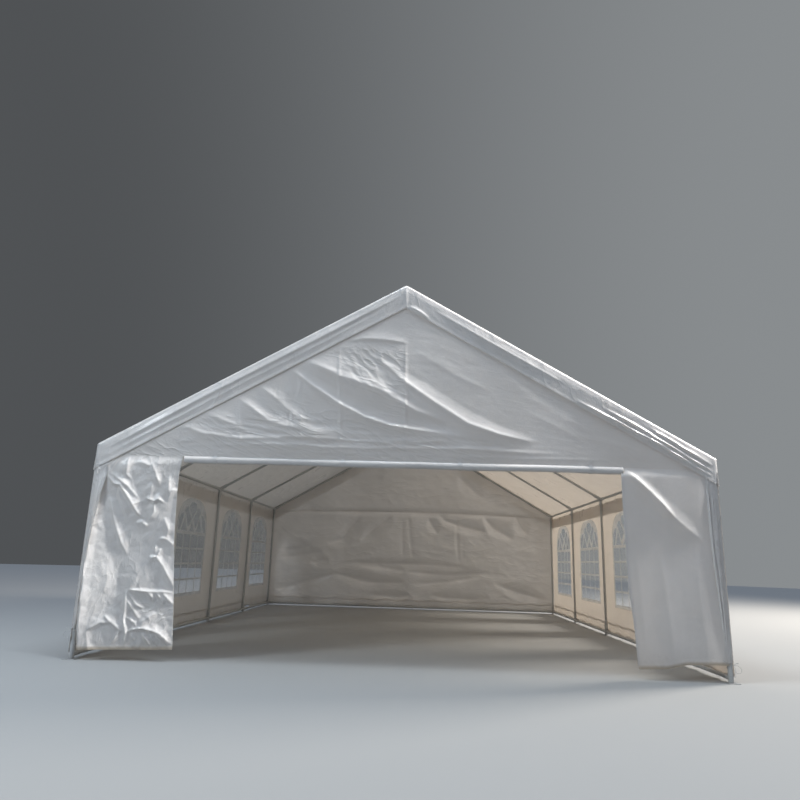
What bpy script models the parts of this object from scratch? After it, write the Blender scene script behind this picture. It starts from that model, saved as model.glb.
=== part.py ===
"""A marquee tent: five arches of steel tube under a fitted roof cover, with hung fabric walls.

Metres, +Z up, +X to the right, and the doorway faces -Y. The origin is on the ground, in the middle.
"""

import math

import bmesh
import bpy
from mathutils import Matrix, Vector

# Driving dimensions of the frame
BAYS = 4
BAY = 2.0
WIDTH = 6.0
EAVE = 2.0
PITCH = math.radians(30)

# Tubes, and the sleeves of the connectors that they plug into. A tube ends TUBE_STOP short of the tube that
# it meets, and a sleeve runs on past the joint by CROSSING.
TUBE_RADIUS = 0.019
SLEEVE_WALL = 0.0045
SLEEVE_REACH = 0.12
TUBE_STOP = 0.011
COUPLER = 0.16
CROSSING = 0.008
SIDES = 12
SMOOTH_BELOW = math.radians(40)

# Degrees that a bar along X, Y or Z is turned about its own axis
TURN_BY_WAY = Vector((5, 9, 3))

# Feet and ground rails
FOOT_PLATE = 0.12
PLATE_THICKNESS = 0.004
RAIL_LIFT = 0.022

# Fabric, drawn thicker than the real tarpaulin
FABRIC = 0.004
VALANCE = 0.26
WALL_DROP = 0.03
HEM_LIFT = 0.026

# Church windows of the side walls, hung below the eave. The arch is a squared-off oval.
WINDOW_WIDTH = 1.2
WINDOW_HEIGHT = 1.31
WINDOW_DROP = 0.26
ARCH_RISE = 0.4
ARCH_POWER = 2.5
ARCH_STEPS = 14

# Doorway in the front wall, with the door rolled up above it
DOOR_WIDTH = 4.28
HEADER_DROP = 0.09
FLAP_LIFT = 0.085
ROLL_RADIUS = 0.036
ROLL_INSET = 0.012
ROLL_CLEARANCE = 0.004
ROLL_SIDES = 24
STRAP = 0.003
STRAP_WIDTH = 0.03
STRAP_TAB = 0.05
STRAP_PLACES = (-1.83, -0.57, 0.57, 1.83)

# Gap between pieces that touch, and how deep a cutter is that goes through a wall
FIT = 0.0003
CUTTER = 0.05

HALF_WIDTH = WIDTH / 2
HALF_LENGTH = BAYS * BAY / 2
RIDGE = EAVE + HALF_WIDTH * math.tan(PITCH)
SLEEVE_RADIUS = TUBE_RADIUS + FIT + SLEEVE_WALL
TUBE_END = TUBE_RADIUS + TUBE_STOP
RAIL_HEIGHT = PLATE_THICKNESS + RAIL_LIFT + TUBE_RADIUS
ARCHES = [index * BAY - HALF_LENGTH for index in range(BAYS + 1)]
SIDE_SIGNS = (("left", -1), ("right", 1))

# Where the fabric lies: the walls close to the sleeves, and the cover just outside the walls
WALL_OFFSET = SLEEVE_RADIUS + FIT
COVER_OFFSET = WALL_OFFSET + FABRIC + FIT
WALL_FOOT = PLATE_THICKNESS + HEM_LIFT
HEADER = EAVE - HEADER_DROP
WINDOW_TOP = EAVE - WINDOW_DROP
WINDOW_SILL = WINDOW_TOP - WINDOW_HEIGHT
WINDOW_SPRING = WINDOW_TOP - ARCH_RISE

STEEL = ("powder_coated_steel", (0.62, 0.63, 0.63), 0.38, 0.4)
ZINC = ("galvanised_steel", (0.52, 0.53, 0.54), 0.45, 0.8)
TARPAULIN = ("white_tarpaulin", (0.82, 0.83, 0.85), 0.42, 0.0)
FILM = ("clear_window_film", (0.7, 0.76, 0.8), 0.12, 0.0)
WEBBING = ("white_webbing", (0.8, 0.8, 0.78), 0.7, 0.0)


def start_empty():
    """Removes whatever the scene holds."""
    for thing in list(bpy.data.objects):
        bpy.data.objects.remove(thing)


def give_finish(thing, finish):
    """Gives an object a material of its own."""
    kind, colour, roughness, metallic = finish
    material = bpy.data.materials.new(f"{kind}_{thing.name}")
    material.use_nodes = True
    shader = material.node_tree.nodes["Principled BSDF"]
    shader.inputs["Base Color"].default_value = (*colour, 1)
    shader.inputs["Roughness"].default_value = roughness
    shader.inputs["Metallic"].default_value = metallic
    thing.data.materials.append(material)


def object_of(name, shape):
    """Turns a bmesh into an object of the scene."""
    mesh = bpy.data.meshes.new(name)
    bmesh.ops.recalc_face_normals(shape, faces=shape.faces)
    shape.to_mesh(mesh)
    shape.free()
    thing = bpy.data.objects.new(name, mesh)
    bpy.context.scene.collection.objects.link(thing)
    return thing


def rod(name, start, end, radius, sides=SIDES):
    """A round bar from start to end.

    It is turned a few degrees about its own axis, by an amount that depends on the way it runs only, so that
    sleeves which cross never meet edge to edge and a tube still lines up with its socket.
    """
    start, end = Vector(start), Vector(end)
    way = (end - start).normalized()
    turn = math.radians(way.dot(TURN_BY_WAY))
    shape = bmesh.new()
    bmesh.ops.create_cone(
        shape, cap_ends=True, segments=sides, radius1=radius, radius2=radius, depth=(end - start).length
    )
    bmesh.ops.rotate(shape, verts=shape.verts, matrix=Matrix.Rotation(turn, 3, "Z"))
    bar = object_of(name, shape)
    bar.data.shade_smooth()
    bar.data.set_sharp_from_angle(angle=SMOOTH_BELOW)
    bar.location = (start + end) / 2
    bar.rotation_euler = way.to_track_quat("Z", "Y").to_euler()
    return bar


def block(name, low, high):
    """A box between two corners."""
    low, high = Vector(low), Vector(high)
    shape = bmesh.new()
    bmesh.ops.create_cube(shape)
    bmesh.ops.scale(shape, vec=high - low, verts=shape.verts)
    box = object_of(name, shape)
    box.location = (low + high) / 2
    return box


def slab(name, outline, thickness):
    """A flat outline in its own XY plane, thickened evenly to both sides."""
    shape = bmesh.new()
    face = shape.faces.new([shape.verts.new((x, y, -thickness / 2)) for x, y in outline])
    raised = bmesh.ops.extrude_face_region(shape, geom=[face])["geom"]
    corners = [item for item in raised if isinstance(item, bmesh.types.BMVert)]
    bmesh.ops.translate(shape, verts=corners, vec=(0, 0, thickness))
    return object_of(name, shape)


def across(sheet, y):
    """Stands a slab up across the tent, with its middle plane at y."""
    sheet.rotation_euler = (math.pi / 2, 0, 0)
    sheet.location = (0, y, 0)
    return sheet


def along(sheet, x, y=0.0):
    """Stands a slab up along the tent, with its middle plane at x and its own zero at y."""
    sheet.rotation_euler = (math.pi / 2, 0, math.pi / 2)
    sheet.location = (x, y, 0)
    return sheet


def combine(body, helpers, operation):
    """Joins hidden helpers to a body, or cuts them out of it."""
    for helper in helpers:
        helper.hide_render = True
        helper.display_type = "WIRE"
        step = body.modifiers.new(helper.name, "BOOLEAN")
        step.operation = operation
        step.object = helper


def slope(side):
    """The direction of a rafter, from the eave up to the ridge."""
    return Vector((-side * math.cos(PITCH), 0, math.sin(PITCH)))


def eave_joint(side, y):
    return Vector((side * HALF_WIDTH, y, EAVE))


def ridge_joint(y):
    return Vector((0, y, RIDGE))


def sleeve_span(y, point_at):
    """Both ends of a connector's sleeve along the tent. On an end arch it only reaches inwards."""
    near = y - (CROSSING if y == ARCHES[0] else SLEEVE_REACH)
    far = y + (CROSSING if y == ARCHES[-1] else SLEEVE_REACH)
    return point_at(near), point_at(far)


def leg(name, side, y):
    """An upright tube, plugged into the foot below and the eave connector above."""
    foot = (side * HALF_WIDTH, y, RAIL_HEIGHT + TUBE_END)
    head = (side * HALF_WIDTH, y, EAVE - TUBE_END)
    give_finish(rod(name, foot, head, TUBE_RADIUS), STEEL)


def rafter(name, side, y):
    """A sloping tube in two lengths, joined by a coupler in its middle."""
    low, high, way = eave_joint(side, y), ridge_joint(y), slope(side)
    middle = (low + high) / 2
    tube = rod(name, low + way * TUBE_END, high - way * TUBE_END, TUBE_RADIUS)
    coupler = rod(f"{name}_coupler", middle - way * COUPLER / 2, middle + way * COUPLER / 2, SLEEVE_RADIUS)
    combine(tube, [coupler], "UNION")
    give_finish(tube, STEEL)


def ridge_rail():
    """The ridge tube, with a connector on each arch that takes two rafters."""
    name = "ridge_rail"
    tube = rod(name, ridge_joint(ARCHES[0]), ridge_joint(ARCHES[-1]), TUBE_RADIUS)
    sleeves, sockets = [], []
    for number, y in enumerate(ARCHES, 1):
        joint = ridge_joint(y)
        sleeves.append(rod(f"{name}_sleeve_{number}", *sleeve_span(y, ridge_joint), SLEEVE_RADIUS))
        for side_name, side in SIDE_SIGNS:
            way = slope(side)
            label = f"{side_name}_{number}"
            mouth = joint - way * SLEEVE_REACH
            sleeves.append(rod(f"{name}_arm_{label}", mouth, joint + way * CROSSING, SLEEVE_RADIUS))
            sockets.append(rod(f"{name}_socket_{label}", mouth - way * CROSSING,
                               joint - way * (TUBE_END - FIT), TUBE_RADIUS + FIT))
    combine(tube, sleeves, "UNION")
    combine(tube, sockets, "DIFFERENCE")
    give_finish(tube, STEEL)


def eave_rail(name, side):
    """An eave tube, with a connector on each arch that takes a leg and a rafter."""
    tube = rod(name, eave_joint(side, ARCHES[0]), eave_joint(side, ARCHES[-1]), TUBE_RADIUS)
    sleeves, sockets = [], []
    for number, y in enumerate(ARCHES, 1):
        joint = eave_joint(side, y)
        sleeves.append(rod(f"{name}_sleeve_{number}", *sleeve_span(y, lambda at: eave_joint(side, at)),
                           SLEEVE_RADIUS))
        for arm, way in (("down", Vector((0, 0, 1))), ("up", slope(side))):
            reach = SLEEVE_REACH if arm == "up" else -SLEEVE_REACH
            sign = math.copysign(1, reach)
            ends = sorted((joint + way * reach, joint - way * sign * CROSSING), key=lambda end: end.z)
            sleeves.append(rod(f"{name}_{arm}_{number}", *ends, SLEEVE_RADIUS))
            bore = (joint + way * (reach + sign * CROSSING), joint + way * sign * (TUBE_END - FIT))
            sockets.append(rod(f"{name}_{arm}_socket_{number}", *sorted(bore, key=lambda end: end.z),
                               TUBE_RADIUS + FIT))
    combine(tube, sleeves, "UNION")
    combine(tube, sockets, "DIFFERENCE")
    give_finish(tube, STEEL)


def ground_rail(name, side):
    """A ground tube, with a foot on each arch: a plate, a sleeve for the leg and a sleeve along the tube."""

    def at(y, height=RAIL_HEIGHT):
        return Vector((side * HALF_WIDTH, y, height))

    tube = rod(name, at(ARCHES[0]), at(ARCHES[-1]), TUBE_RADIUS)
    welded, sockets = [], []
    half = FOOT_PLATE / 2
    for number, y in enumerate(ARCHES, 1):
        welded.append(rod(f"{name}_sleeve_{number}", *sleeve_span(y, at), SLEEVE_RADIUS))
        welded.append(rod(f"{name}_post_{number}", at(y, PLATE_THICKNESS / 2),
                          at(y, RAIL_HEIGHT + SLEEVE_REACH), SLEEVE_RADIUS))
        welded.append(block(f"{name}_plate_{number}", at(y, 0) - Vector((half, half, 0)),
                            at(y, PLATE_THICKNESS) + Vector((half, half, 0))))
        sockets.append(rod(f"{name}_socket_{number}", at(y, RAIL_HEIGHT + TUBE_END - FIT),
                           at(y, RAIL_HEIGHT + SLEEVE_REACH + CROSSING), TUBE_RADIUS + FIT))
    corner = at(ARCHES[-1])
    inward = Vector((-side, 0, 0))
    arm = (corner - inward * CROSSING, corner + inward * SLEEVE_REACH)
    bore = (corner + inward * (TUBE_END - FIT), corner + inward * (SLEEVE_REACH + CROSSING))
    welded.append(rod(f"{name}_corner", *sorted(arm, key=lambda end: end.x), SLEEVE_RADIUS))
    sockets.append(rod(f"{name}_corner_socket", *sorted(bore, key=lambda end: end.x), TUBE_RADIUS + FIT))
    combine(tube, welded, "UNION")
    combine(tube, sockets, "DIFFERENCE")
    give_finish(tube, ZINC)


def rear_ground_rail():
    """The tube across the back, plugged into both corner feet, with a coupler in its middle."""
    reach = HALF_WIDTH - TUBE_END
    name = "ground_rail_rear"
    y = ARCHES[-1]
    tube = rod(name, (-reach, y, RAIL_HEIGHT), (reach, y, RAIL_HEIGHT), TUBE_RADIUS)
    half = COUPLER / 2
    coupler = rod(f"{name}_coupler", (-half, y, RAIL_HEIGHT), (half, y, RAIL_HEIGHT), SLEEVE_RADIUS)
    combine(tube, [coupler], "UNION")
    give_finish(tube, ZINC)


def roof_line(x, offset):
    """Height of a line that runs parallel to the rafters, at an offset outside their centres."""
    return RIDGE + offset / math.cos(PITCH) - abs(x) * math.tan(PITCH)


def roof_cover():
    """The whole cover in one piece: two slopes, a valance down each eave and one across each gable."""
    inner = HALF_WIDTH + COVER_OFFSET
    outer = inner + FABRIC
    top = WALL_OFFSET + FABRIC
    eave, apex = roof_line(outer, top), roof_line(0, top)
    chevron = [(-outer, eave - VALANCE), (0, apex - VALANCE), (outer, eave - VALANCE),
               (outer, eave), (0, apex), (-outer, eave)]
    hollow = [(-inner, 0), (inner, 0), (inner, roof_line(inner, WALL_OFFSET)), (0, roof_line(0, WALL_OFFSET)),
              (-inner, roof_line(inner, WALL_OFFSET))]
    cover = across(slab("roof_cover", chevron, 2 * (HALF_LENGTH + COVER_OFFSET + FABRIC)), 0)
    cavity = across(slab("roof_cover_cavity", hollow, 2 * (HALF_LENGTH + COVER_OFFSET)), 0)
    combine(cover, [cavity], "DIFFERENCE")
    give_finish(cover, TARPAULIN)


def gable_outline(foot):
    """The end of the tent inside the cover, from a lower edge up to the ridge."""
    edge = HALF_WIDTH + COVER_OFFSET - FIT
    under = WALL_OFFSET - FIT
    return [(-edge, foot), (edge, foot), (edge, roof_line(edge, under)), (0, roof_line(0, under)),
            (-edge, roof_line(edge, under))]


def end_walls():
    """The rear wall in one sheet, and the front wall as a gable with a flap on each side of the doorway."""
    plane = HALF_LENGTH + WALL_OFFSET + FABRIC / 2
    give_finish(across(slab("rear_wall", gable_outline(WALL_FOOT), FABRIC), plane), TARPAULIN)
    give_finish(across(slab("front_gable", gable_outline(HEADER), FABRIC), -plane), TARPAULIN)
    edge = HALF_WIDTH + COVER_OFFSET - FIT
    for side_name, side in SIDE_SIGNS:
        inside, outside = side * DOOR_WIDTH / 2, side * edge
        outline = [(inside, FLAP_LIFT), (outside, FLAP_LIFT), (outside, HEADER - FIT), (inside, HEADER - FIT)]
        give_finish(across(slab(f"front_flap_{side_name}", outline, FABRIC), -plane), TARPAULIN)


def window_outline(grow):
    """A church window in its wall's plane, centred on its bay and grown by an even margin."""
    half = WINDOW_WIDTH / 2 + grow
    rise = ARCH_RISE + grow
    outline = [(-half, WINDOW_SILL - grow), (half, WINDOW_SILL - grow)]
    for step in range(ARCH_STEPS + 1):
        angle = math.pi * step / ARCH_STEPS
        across_it, up = math.cos(angle), math.sin(angle)
        outline.append((half * math.copysign(abs(across_it) ** (2 / ARCH_POWER), across_it),
                        WINDOW_SPRING + rise * up ** (2 / ARCH_POWER)))
    return outline


def side_wall(name, side_name, side):
    """A wall along one side, cut out for a film window in each bay."""
    plane = side * (HALF_WIDTH + WALL_OFFSET + FABRIC / 2)
    end = HALF_LENGTH + WALL_OFFSET - FIT
    top = EAVE - WALL_DROP
    wall = along(slab(name, [(-end, WALL_FOOT), (end, WALL_FOOT), (end, top), (-end, top)], FABRIC), plane)
    cutters = []
    for number in range(1, BAYS + 1):
        middle = (ARCHES[number - 1] + ARCHES[number]) / 2
        cutters.append(along(slab(f"{name}_opening_{number}", window_outline(FIT), CUTTER), plane, middle))
        film = along(slab(f"window_{side_name}_{number}", window_outline(0), FABRIC), plane, middle)
        give_finish(film, FILM)
    combine(wall, cutters, "DIFFERENCE")
    give_finish(wall, TARPAULIN)


def rolled_door():
    """The door rolled up under the gable's hem, held by four straps that clasp the hem."""
    hem_plane = -(HALF_LENGTH + WALL_OFFSET + FABRIC / 2)
    y = hem_plane + ROLL_INSET
    z = HEADER - FIT - ROLL_RADIUS
    reach = DOOR_WIDTH / 2 - ROLL_CLEARANCE
    give_finish(rod("door_roll", (-reach, y, z), (reach, y, z), ROLL_RADIUS, ROLL_SIDES), TARPAULIN)
    bore = ROLL_RADIUS + FIT
    slot = FABRIC / 2 + FIT
    for number, x in enumerate(STRAP_PLACES, 1):
        name = f"roll_tie_{number}"
        start, end = x - STRAP_WIDTH / 2, x + STRAP_WIDTH / 2
        strap = rod(name, (start, y, z), (end, y, z), bore + STRAP, ROLL_SIDES)
        tab = block(f"{name}_tab", (start, hem_plane - slot - STRAP, z + bore),
                    (end, hem_plane + slot + STRAP, HEADER + STRAP_TAB))
        inside = rod(f"{name}_inside", (start - STRAP, y, z), (end + STRAP, y, z), bore, ROLL_SIDES)
        split = block(f"{name}_split", (start - STRAP, hem_plane - slot, z),
                      (end + STRAP, hem_plane + slot, HEADER + 2 * STRAP_TAB))
        combine(strap, [tab], "UNION")
        combine(strap, [inside, split], "DIFFERENCE")
        give_finish(strap, WEBBING)


start_empty()
for arm_side, sign_of_side in SIDE_SIGNS:
    for arch, arch_y in enumerate(ARCHES, 1):
        leg(f"leg_{arm_side}_{arch}", sign_of_side, arch_y)
        rafter(f"rafter_{arm_side}_{arch}", sign_of_side, arch_y)
    eave_rail(f"eave_rail_{arm_side}", sign_of_side)
    ground_rail(f"ground_rail_{arm_side}", sign_of_side)
    side_wall(f"{arm_side}_wall", arm_side, sign_of_side)
ridge_rail()
rear_ground_rail()
roof_cover()
end_walls()
rolled_door()
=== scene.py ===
"""The looks of a marquee tent: creased woven tarpaulin, hung on a frame of steel tube.

Metres, +Z up, +X to the right, and the doorway faces -Y.
"""

import math

import bmesh
import bpy
from mathutils import Matrix, Vector, noise


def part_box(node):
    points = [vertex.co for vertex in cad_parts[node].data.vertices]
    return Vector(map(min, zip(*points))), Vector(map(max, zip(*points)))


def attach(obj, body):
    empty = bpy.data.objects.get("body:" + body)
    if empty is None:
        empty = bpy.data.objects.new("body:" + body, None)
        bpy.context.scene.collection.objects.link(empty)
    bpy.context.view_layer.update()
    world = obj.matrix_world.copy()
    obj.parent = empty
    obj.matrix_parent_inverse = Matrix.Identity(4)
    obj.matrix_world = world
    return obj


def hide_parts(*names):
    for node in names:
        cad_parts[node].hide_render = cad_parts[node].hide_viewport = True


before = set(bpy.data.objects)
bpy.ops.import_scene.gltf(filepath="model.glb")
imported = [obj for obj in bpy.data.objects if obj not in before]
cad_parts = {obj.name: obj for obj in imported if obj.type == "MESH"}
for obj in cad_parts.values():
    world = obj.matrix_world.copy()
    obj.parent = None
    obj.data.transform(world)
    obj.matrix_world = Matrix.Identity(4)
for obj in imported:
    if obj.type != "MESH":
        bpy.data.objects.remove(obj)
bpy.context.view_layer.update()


# Camera. It stands low in front of the doorway, a little right of the middle, and looks up at the gable.
# The lens has to take in the whole front with the grass line below it.
CAMERA_PLACE = (0.202, -10.335, 0.962)
CAMERA_TURN = 0.037
CAMERA_TILT = 0.243
CAMERA_ROLL = 0.031
CAMERA_LENS = 29.35
SENSOR = 36.0

camera = bpy.data.objects.new("camera", bpy.data.cameras.new("camera"))
bpy.context.scene.collection.objects.link(camera)
bpy.context.scene.camera = camera
camera.data.sensor_width = SENSOR
camera.data.lens = CAMERA_LENS
camera.rotation_mode = "QUATERNION"
camera.location = CAMERA_PLACE
camera.rotation_quaternion = (
    Matrix.Rotation(CAMERA_TURN, 3, "Z")
    @ Matrix.Rotation(math.pi / 2 + CAMERA_TILT, 3, "X")
    @ Matrix.Rotation(CAMERA_ROLL, 3, "Z")
).to_quaternion()


# Studio. A pale floor runs out to a plain backdrop that lightens from left to right. Soft daylight comes from
# all round. A large warm light from the right shines through the cloth, and smaller ones fall on the front.
FLOOR_REACH = 45.0
FLOOR_COLOUR = (0.42, 0.42, 0.41)
FLOOR_ROUGHNESS = 0.9
BACKDROP_LEFT = (0.08, 0.085, 0.09)
BACKDROP_RIGHT = (0.25, 0.265, 0.275)
SKY_LEFT = (0.06, 0.075, 0.095)
SKY_RIGHT = (0.08, 0.10, 0.13)
SKY_HIGH = (0.53, 0.61, 0.74)
WARM_LIGHT = (1.0, 0.93, 0.84)
SUNLIGHT = (1.0, 0.97, 0.94)
SKYLIGHT = (0.82, 0.92, 1.0)
SHADE_LIGHT = (0.86, 0.94, 1.0)


def feed(node, feeds):
    """Sets a shader node's inputs, each to a value or to the output that drives it."""
    for socket, value in dict(feeds).items():
        if isinstance(value, bpy.types.NodeSocket):
            node.id_data.links.new(value, node.inputs[socket])
        else:
            node.inputs[socket].default_value = value
    return node


def add_node(tree, kind, feeds=(), **settings):
    """Adds a shader node with its settings, and feeds its inputs."""
    node = tree.nodes.new(kind)
    for setting, value in settings.items():
        setattr(node, setting, value)
    return feed(node, feeds)


def spread(tree, value, low, high, start=0.0, end=1.0, **settings):
    """Carries a number's range, from low to high, over to the range from start to end."""
    feeds = {0: value, 1: low, 2: high, 3: start, 4: end}
    return add_node(tree, "ShaderNodeMapRange", feeds, **settings).outputs[0]


def mix_colours(tree, share, *colours):
    """Mixes two colours, each three numbers or an output. Returns the result's output."""
    first, second = [colour if isinstance(colour, bpy.types.NodeSocket) else (*colour, 1)
                     for colour in colours]
    return add_node(tree, "ShaderNodeMix", {0: share, 6: first, 7: second}, data_type="RGBA").outputs[2]


studio = bpy.data.worlds.new("studio")
bpy.context.scene.world = studio
studio.use_nodes = True
sky_nodes = studio.node_tree
sky_nodes.nodes.clear()
way = add_node(sky_nodes, "ShaderNodeTexCoord").outputs["Generated"]
ways = add_node(sky_nodes, "ShaderNodeSeparateXYZ", {0: way}).outputs
rightward = spread(sky_nodes, ways[0], -0.5, 0.5, interpolation_type="SMOOTHSTEP")
upward = spread(sky_nodes, ways[2], 0.15, 1.0)
backdrop = mix_colours(sky_nodes, rightward, BACKDROP_LEFT, BACKDROP_RIGHT)
horizon = mix_colours(sky_nodes, rightward, SKY_LEFT, SKY_RIGHT)
daylight = mix_colours(sky_nodes, upward, horizon, SKY_HIGH)
seen = add_node(sky_nodes, "ShaderNodeBackground", {"Color": backdrop}).outputs[0]
shining = add_node(sky_nodes, "ShaderNodeBackground", {"Color": daylight}).outputs[0]
to_camera = add_node(sky_nodes, "ShaderNodeLightPath").outputs["Is Camera Ray"]
whole_sky = add_node(sky_nodes, "ShaderNodeMixShader", {0: to_camera, 1: shining, 2: seen}).outputs[0]
add_node(sky_nodes, "ShaderNodeOutputWorld", {0: whole_sky})


def soft_light(name, place, aim, size, watts, colour):
    """Adds a soft box, as wide and deep as its size says, that hangs at a place and faces a point."""
    lamp = bpy.data.lights.new(name, "AREA")
    lamp.shape = "RECTANGLE"
    lamp.size = size[0]
    lamp.size_y = size[1]
    lamp.energy = watts
    lamp.color = colour
    holder = bpy.data.objects.new(name, lamp)
    holder.location = place
    holder.rotation_euler = (Vector(aim) - Vector(place)).to_track_quat("-Z", "Y").to_euler()
    bpy.context.scene.collection.objects.link(holder)
    return holder


soft_light("low_sun", (14.5, 3, 8.8), aim=(0, 0.5, 1.6), size=(5, 5), watts=3150, colour=WARM_LIGHT)
raking_sun = soft_light("raking_sun", (13, -4.65, 15.5), aim=(-0.6, -4.05, 1.7), size=(1.8, 1.8), watts=9500,
                        colour=SUNLIGHT)
soft_light("top_box", (-1.0, -5.2, 9.6), aim=(-0.5, -4.1, 1.8), size=(4.0, 0.9), watts=290, colour=SKYLIGHT)
soft_light("left_box", (-7.5, -9, 5.5), aim=(-2.0, -4, 1.2), size=(1.6, 2.4), watts=310, colour=SHADE_LIGHT)


def new_finish(name):
    """Starts a material. Returns it with its node tree and its main shader."""
    finish = bpy.data.materials.new(name)
    finish.use_nodes = True
    return finish, finish.node_tree, finish.node_tree.nodes["Principled BSDF"]


ground = bmesh.new()
bmesh.ops.create_circle(ground, cap_ends=True, segments=96, radius=FLOOR_REACH)
floor_mesh = bpy.data.meshes.new("floor")
ground.to_mesh(floor_mesh)
ground.free()
floor = bpy.data.objects.new("floor", floor_mesh)
bpy.context.scene.collection.objects.link(floor)
floor_finish, _, floor_shader = new_finish("studio_floor")
feed(floor_shader, {"Base Color": (*FLOOR_COLOUR, 1), "Roughness": FLOOR_ROUGHNESS})
floor_mesh.materials.append(floor_finish)

bpy.context.scene.view_settings.view_transform = "Standard"


# Steel frame. Round tubes slide into welded connectors, all powder coated light grey. The coat is scuffed
# from handling, and splashed earth soils it near the ground.
FRAME_GREY = (0.50, 0.51, 0.51)
SCUFFED_GREY = (0.32, 0.32, 0.32)
EARTH = (0.17, 0.14, 0.09)
UPPER_STEEL = ("leg_", "rafter_", "eave_rail_", "ridge_rail")


def shader_group(name, inputs, output):
    """Starts a node group that puts out one number. An input that starts at None is a vector."""
    group = bpy.data.node_groups.new(name, "ShaderNodeTree")
    for label, start in inputs.items():
        kind = "NodeSocketVector" if start is None else "NodeSocketFloat"
        socket = group.interface.new_socket(label, in_out="INPUT", socket_type=kind)
        if start is not None:
            socket.default_value = start
    group.interface.new_socket(output, in_out="OUTPUT", socket_type="NodeSocketFloat")
    return group, add_node(group, "NodeGroupInput").outputs, add_node(group, "NodeGroupOutput")


def place_group(tree, group, feeds):
    """Places a node group in a material and feeds its inputs. Returns its output."""
    return add_node(tree, "ShaderNodeGroup", feeds, node_tree=group).outputs[0]


def calculate(tree, operation, *terms):
    """Works out a number from one or two others, each a value or an output."""
    return add_node(tree, "ShaderNodeMath", dict(enumerate(terms)), operation=operation).outputs[0]


def speckle(tree, place, scale, detail, roughness=0.5):
    """Cloudy noise: a number that changes with the place."""
    feeds = {"Vector": place, "Scale": scale, "Detail": detail, "Roughness": roughness}
    return add_node(tree, "ShaderNodeTexNoise", feeds).outputs[0]


def bump(tree, height, strength, distance, **under):
    """The way a surface faces when a height of up to the distance, in metres, is laid on it."""
    feeds = {"Height": height, "Strength": strength, "Distance": distance, **under}
    return add_node(tree, "ShaderNodeBump", feeds).outputs[0]


# Soil that rises from the ground, thickest at the foot and broken up by noise
splash, splash_in, splash_end = shader_group(
    "ground_splash", {"Place": None, "Reach": 0.3, "Amount": 1.0}, "Soil")
splash_height = add_node(splash, "ShaderNodeSeparateXYZ", {0: splash_in["Place"]}).outputs[2]
splash_fade = spread(splash, splash_height, 0.0, splash_in["Reach"], start=1.0, end=0.0)
splash_spots = speckle(splash, splash_in["Place"], scale=38, detail=6)
splash_patch = speckle(splash, splash_in["Place"], scale=5, detail=3)
splash_both = calculate(splash, "MULTIPLY", splash_spots, splash_patch)
splash_near = calculate(splash, "POWER", splash_fade, 2.2)
splash_spread = calculate(splash, "MULTIPLY", splash_both, splash_near)
feed(splash_end, {"Soil": calculate(splash, "MULTIPLY", splash_spread, splash_in["Amount"])})

# Fine scuffs and scratches in a coat of paint
scuffs, scuffs_in, scuffs_end = shader_group("coat_scuffs", {"Place": None, "Amount": 0.5}, "Scuffs")
scuff_grain = speckle(scuffs, scuffs_in["Place"], scale=60, detail=8, roughness=0.7)
scuff_edge = spread(scuffs, scuff_grain, 0.56, 0.72)
feed(scuffs_end, {"Scuffs": calculate(scuffs, "MULTIPLY", scuff_edge, scuffs_in["Amount"])})


def coated_steel(name, scuff_amount, soil_reach):
    """Powder coated steel, with scuffs all over and soil up to a height."""
    steel, tree, shader = new_finish(name)
    place = add_node(tree, "ShaderNodeTexCoord").outputs["Object"]
    scuffed = place_group(tree, scuffs, {"Place": place, "Amount": scuff_amount})
    soiled = place_group(tree, splash, {"Place": place, "Reach": soil_reach})
    worn = mix_colours(tree, scuffed, FRAME_GREY, SCUFFED_GREY)
    peel = speckle(tree, place, scale=420, detail=2)
    feed(shader, {"Base Color": mix_colours(tree, soiled, worn, EARTH),
                  "Roughness": spread(tree, scuffed, 0.0, 1.0, start=0.36, end=0.6),
                  "Normal": bump(tree, peel, strength=0.25, distance=0.0004)})
    return steel


frame_coat = coated_steel("frame_coat", scuff_amount=0.35, soil_reach=0.25)
rail_coat = coated_steel("rail_coat", scuff_amount=0.6, soil_reach=0.14)
for node_name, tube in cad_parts.items():
    if node_name.startswith((*UPPER_STEEL, "ground_rail_")):
        coat = frame_coat if node_name.startswith(UPPER_STEEL) else rail_coat
        for material_slot in tube.material_slots:
            material_slot.material = coat


# Roof cover. One welded sheet of woven polyethylene tape, coated white. It lies over the rafters, sags a
# little between them, and its sides hang down past the eaves as a valance.
post_low, post_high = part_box("leg_right_5")
HALF_WIDTH = (post_low[0] + post_high[0]) / 2
HALF_LENGTH = (post_low[1] + post_high[1]) / 2
TUBE = (post_high[0] - post_low[0]) / 2
BAYS = 4
BAY = 2 * HALF_LENGTH / BAYS
EAVE = 2.0
PITCH = math.radians(30)
SLOPE = HALF_WIDTH / math.cos(PITCH)
RIDGE = EAVE + HALF_WIDTH * math.tan(PITCH)
CLOTH = 0.0016
TUBE_GAP = 0.0007
SLEEVE_WALL = 0.0045
SLEEVE_GAP = 0.0015
OVER_TUBE = TUBE + CLOTH + TUBE_GAP
OVER_SLEEVE = TUBE + SLEEVE_WALL + CLOTH + SLEEVE_GAP
CROWN = OVER_SLEEVE * PITCH
BROW = OVER_SLEEVE * (math.pi / 2 - PITCH)
SIDE_DROP = 0.246
ROOF_BEND = math.radians(68)
ROOF_GRID = 0.05
BEND_GRID = 0.007
DROP_GRID = 0.035
ROOF_SAG = {-1: (0.022, 0.029, 0.020, 0.026), 1: (0.026, 0.021, 0.030, 0.022)}
SHARP_EDGE = math.radians(50)
WEAVE_PITCH = 0.0028
WEAVE_DEPTH = 0.00022
TARP_WHITE = (0.84, 0.85, 0.87)
TARP_SHADE = (0.74, 0.75, 0.76)
HEM_SOIL = (0.42, 0.36, 0.27)
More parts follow.
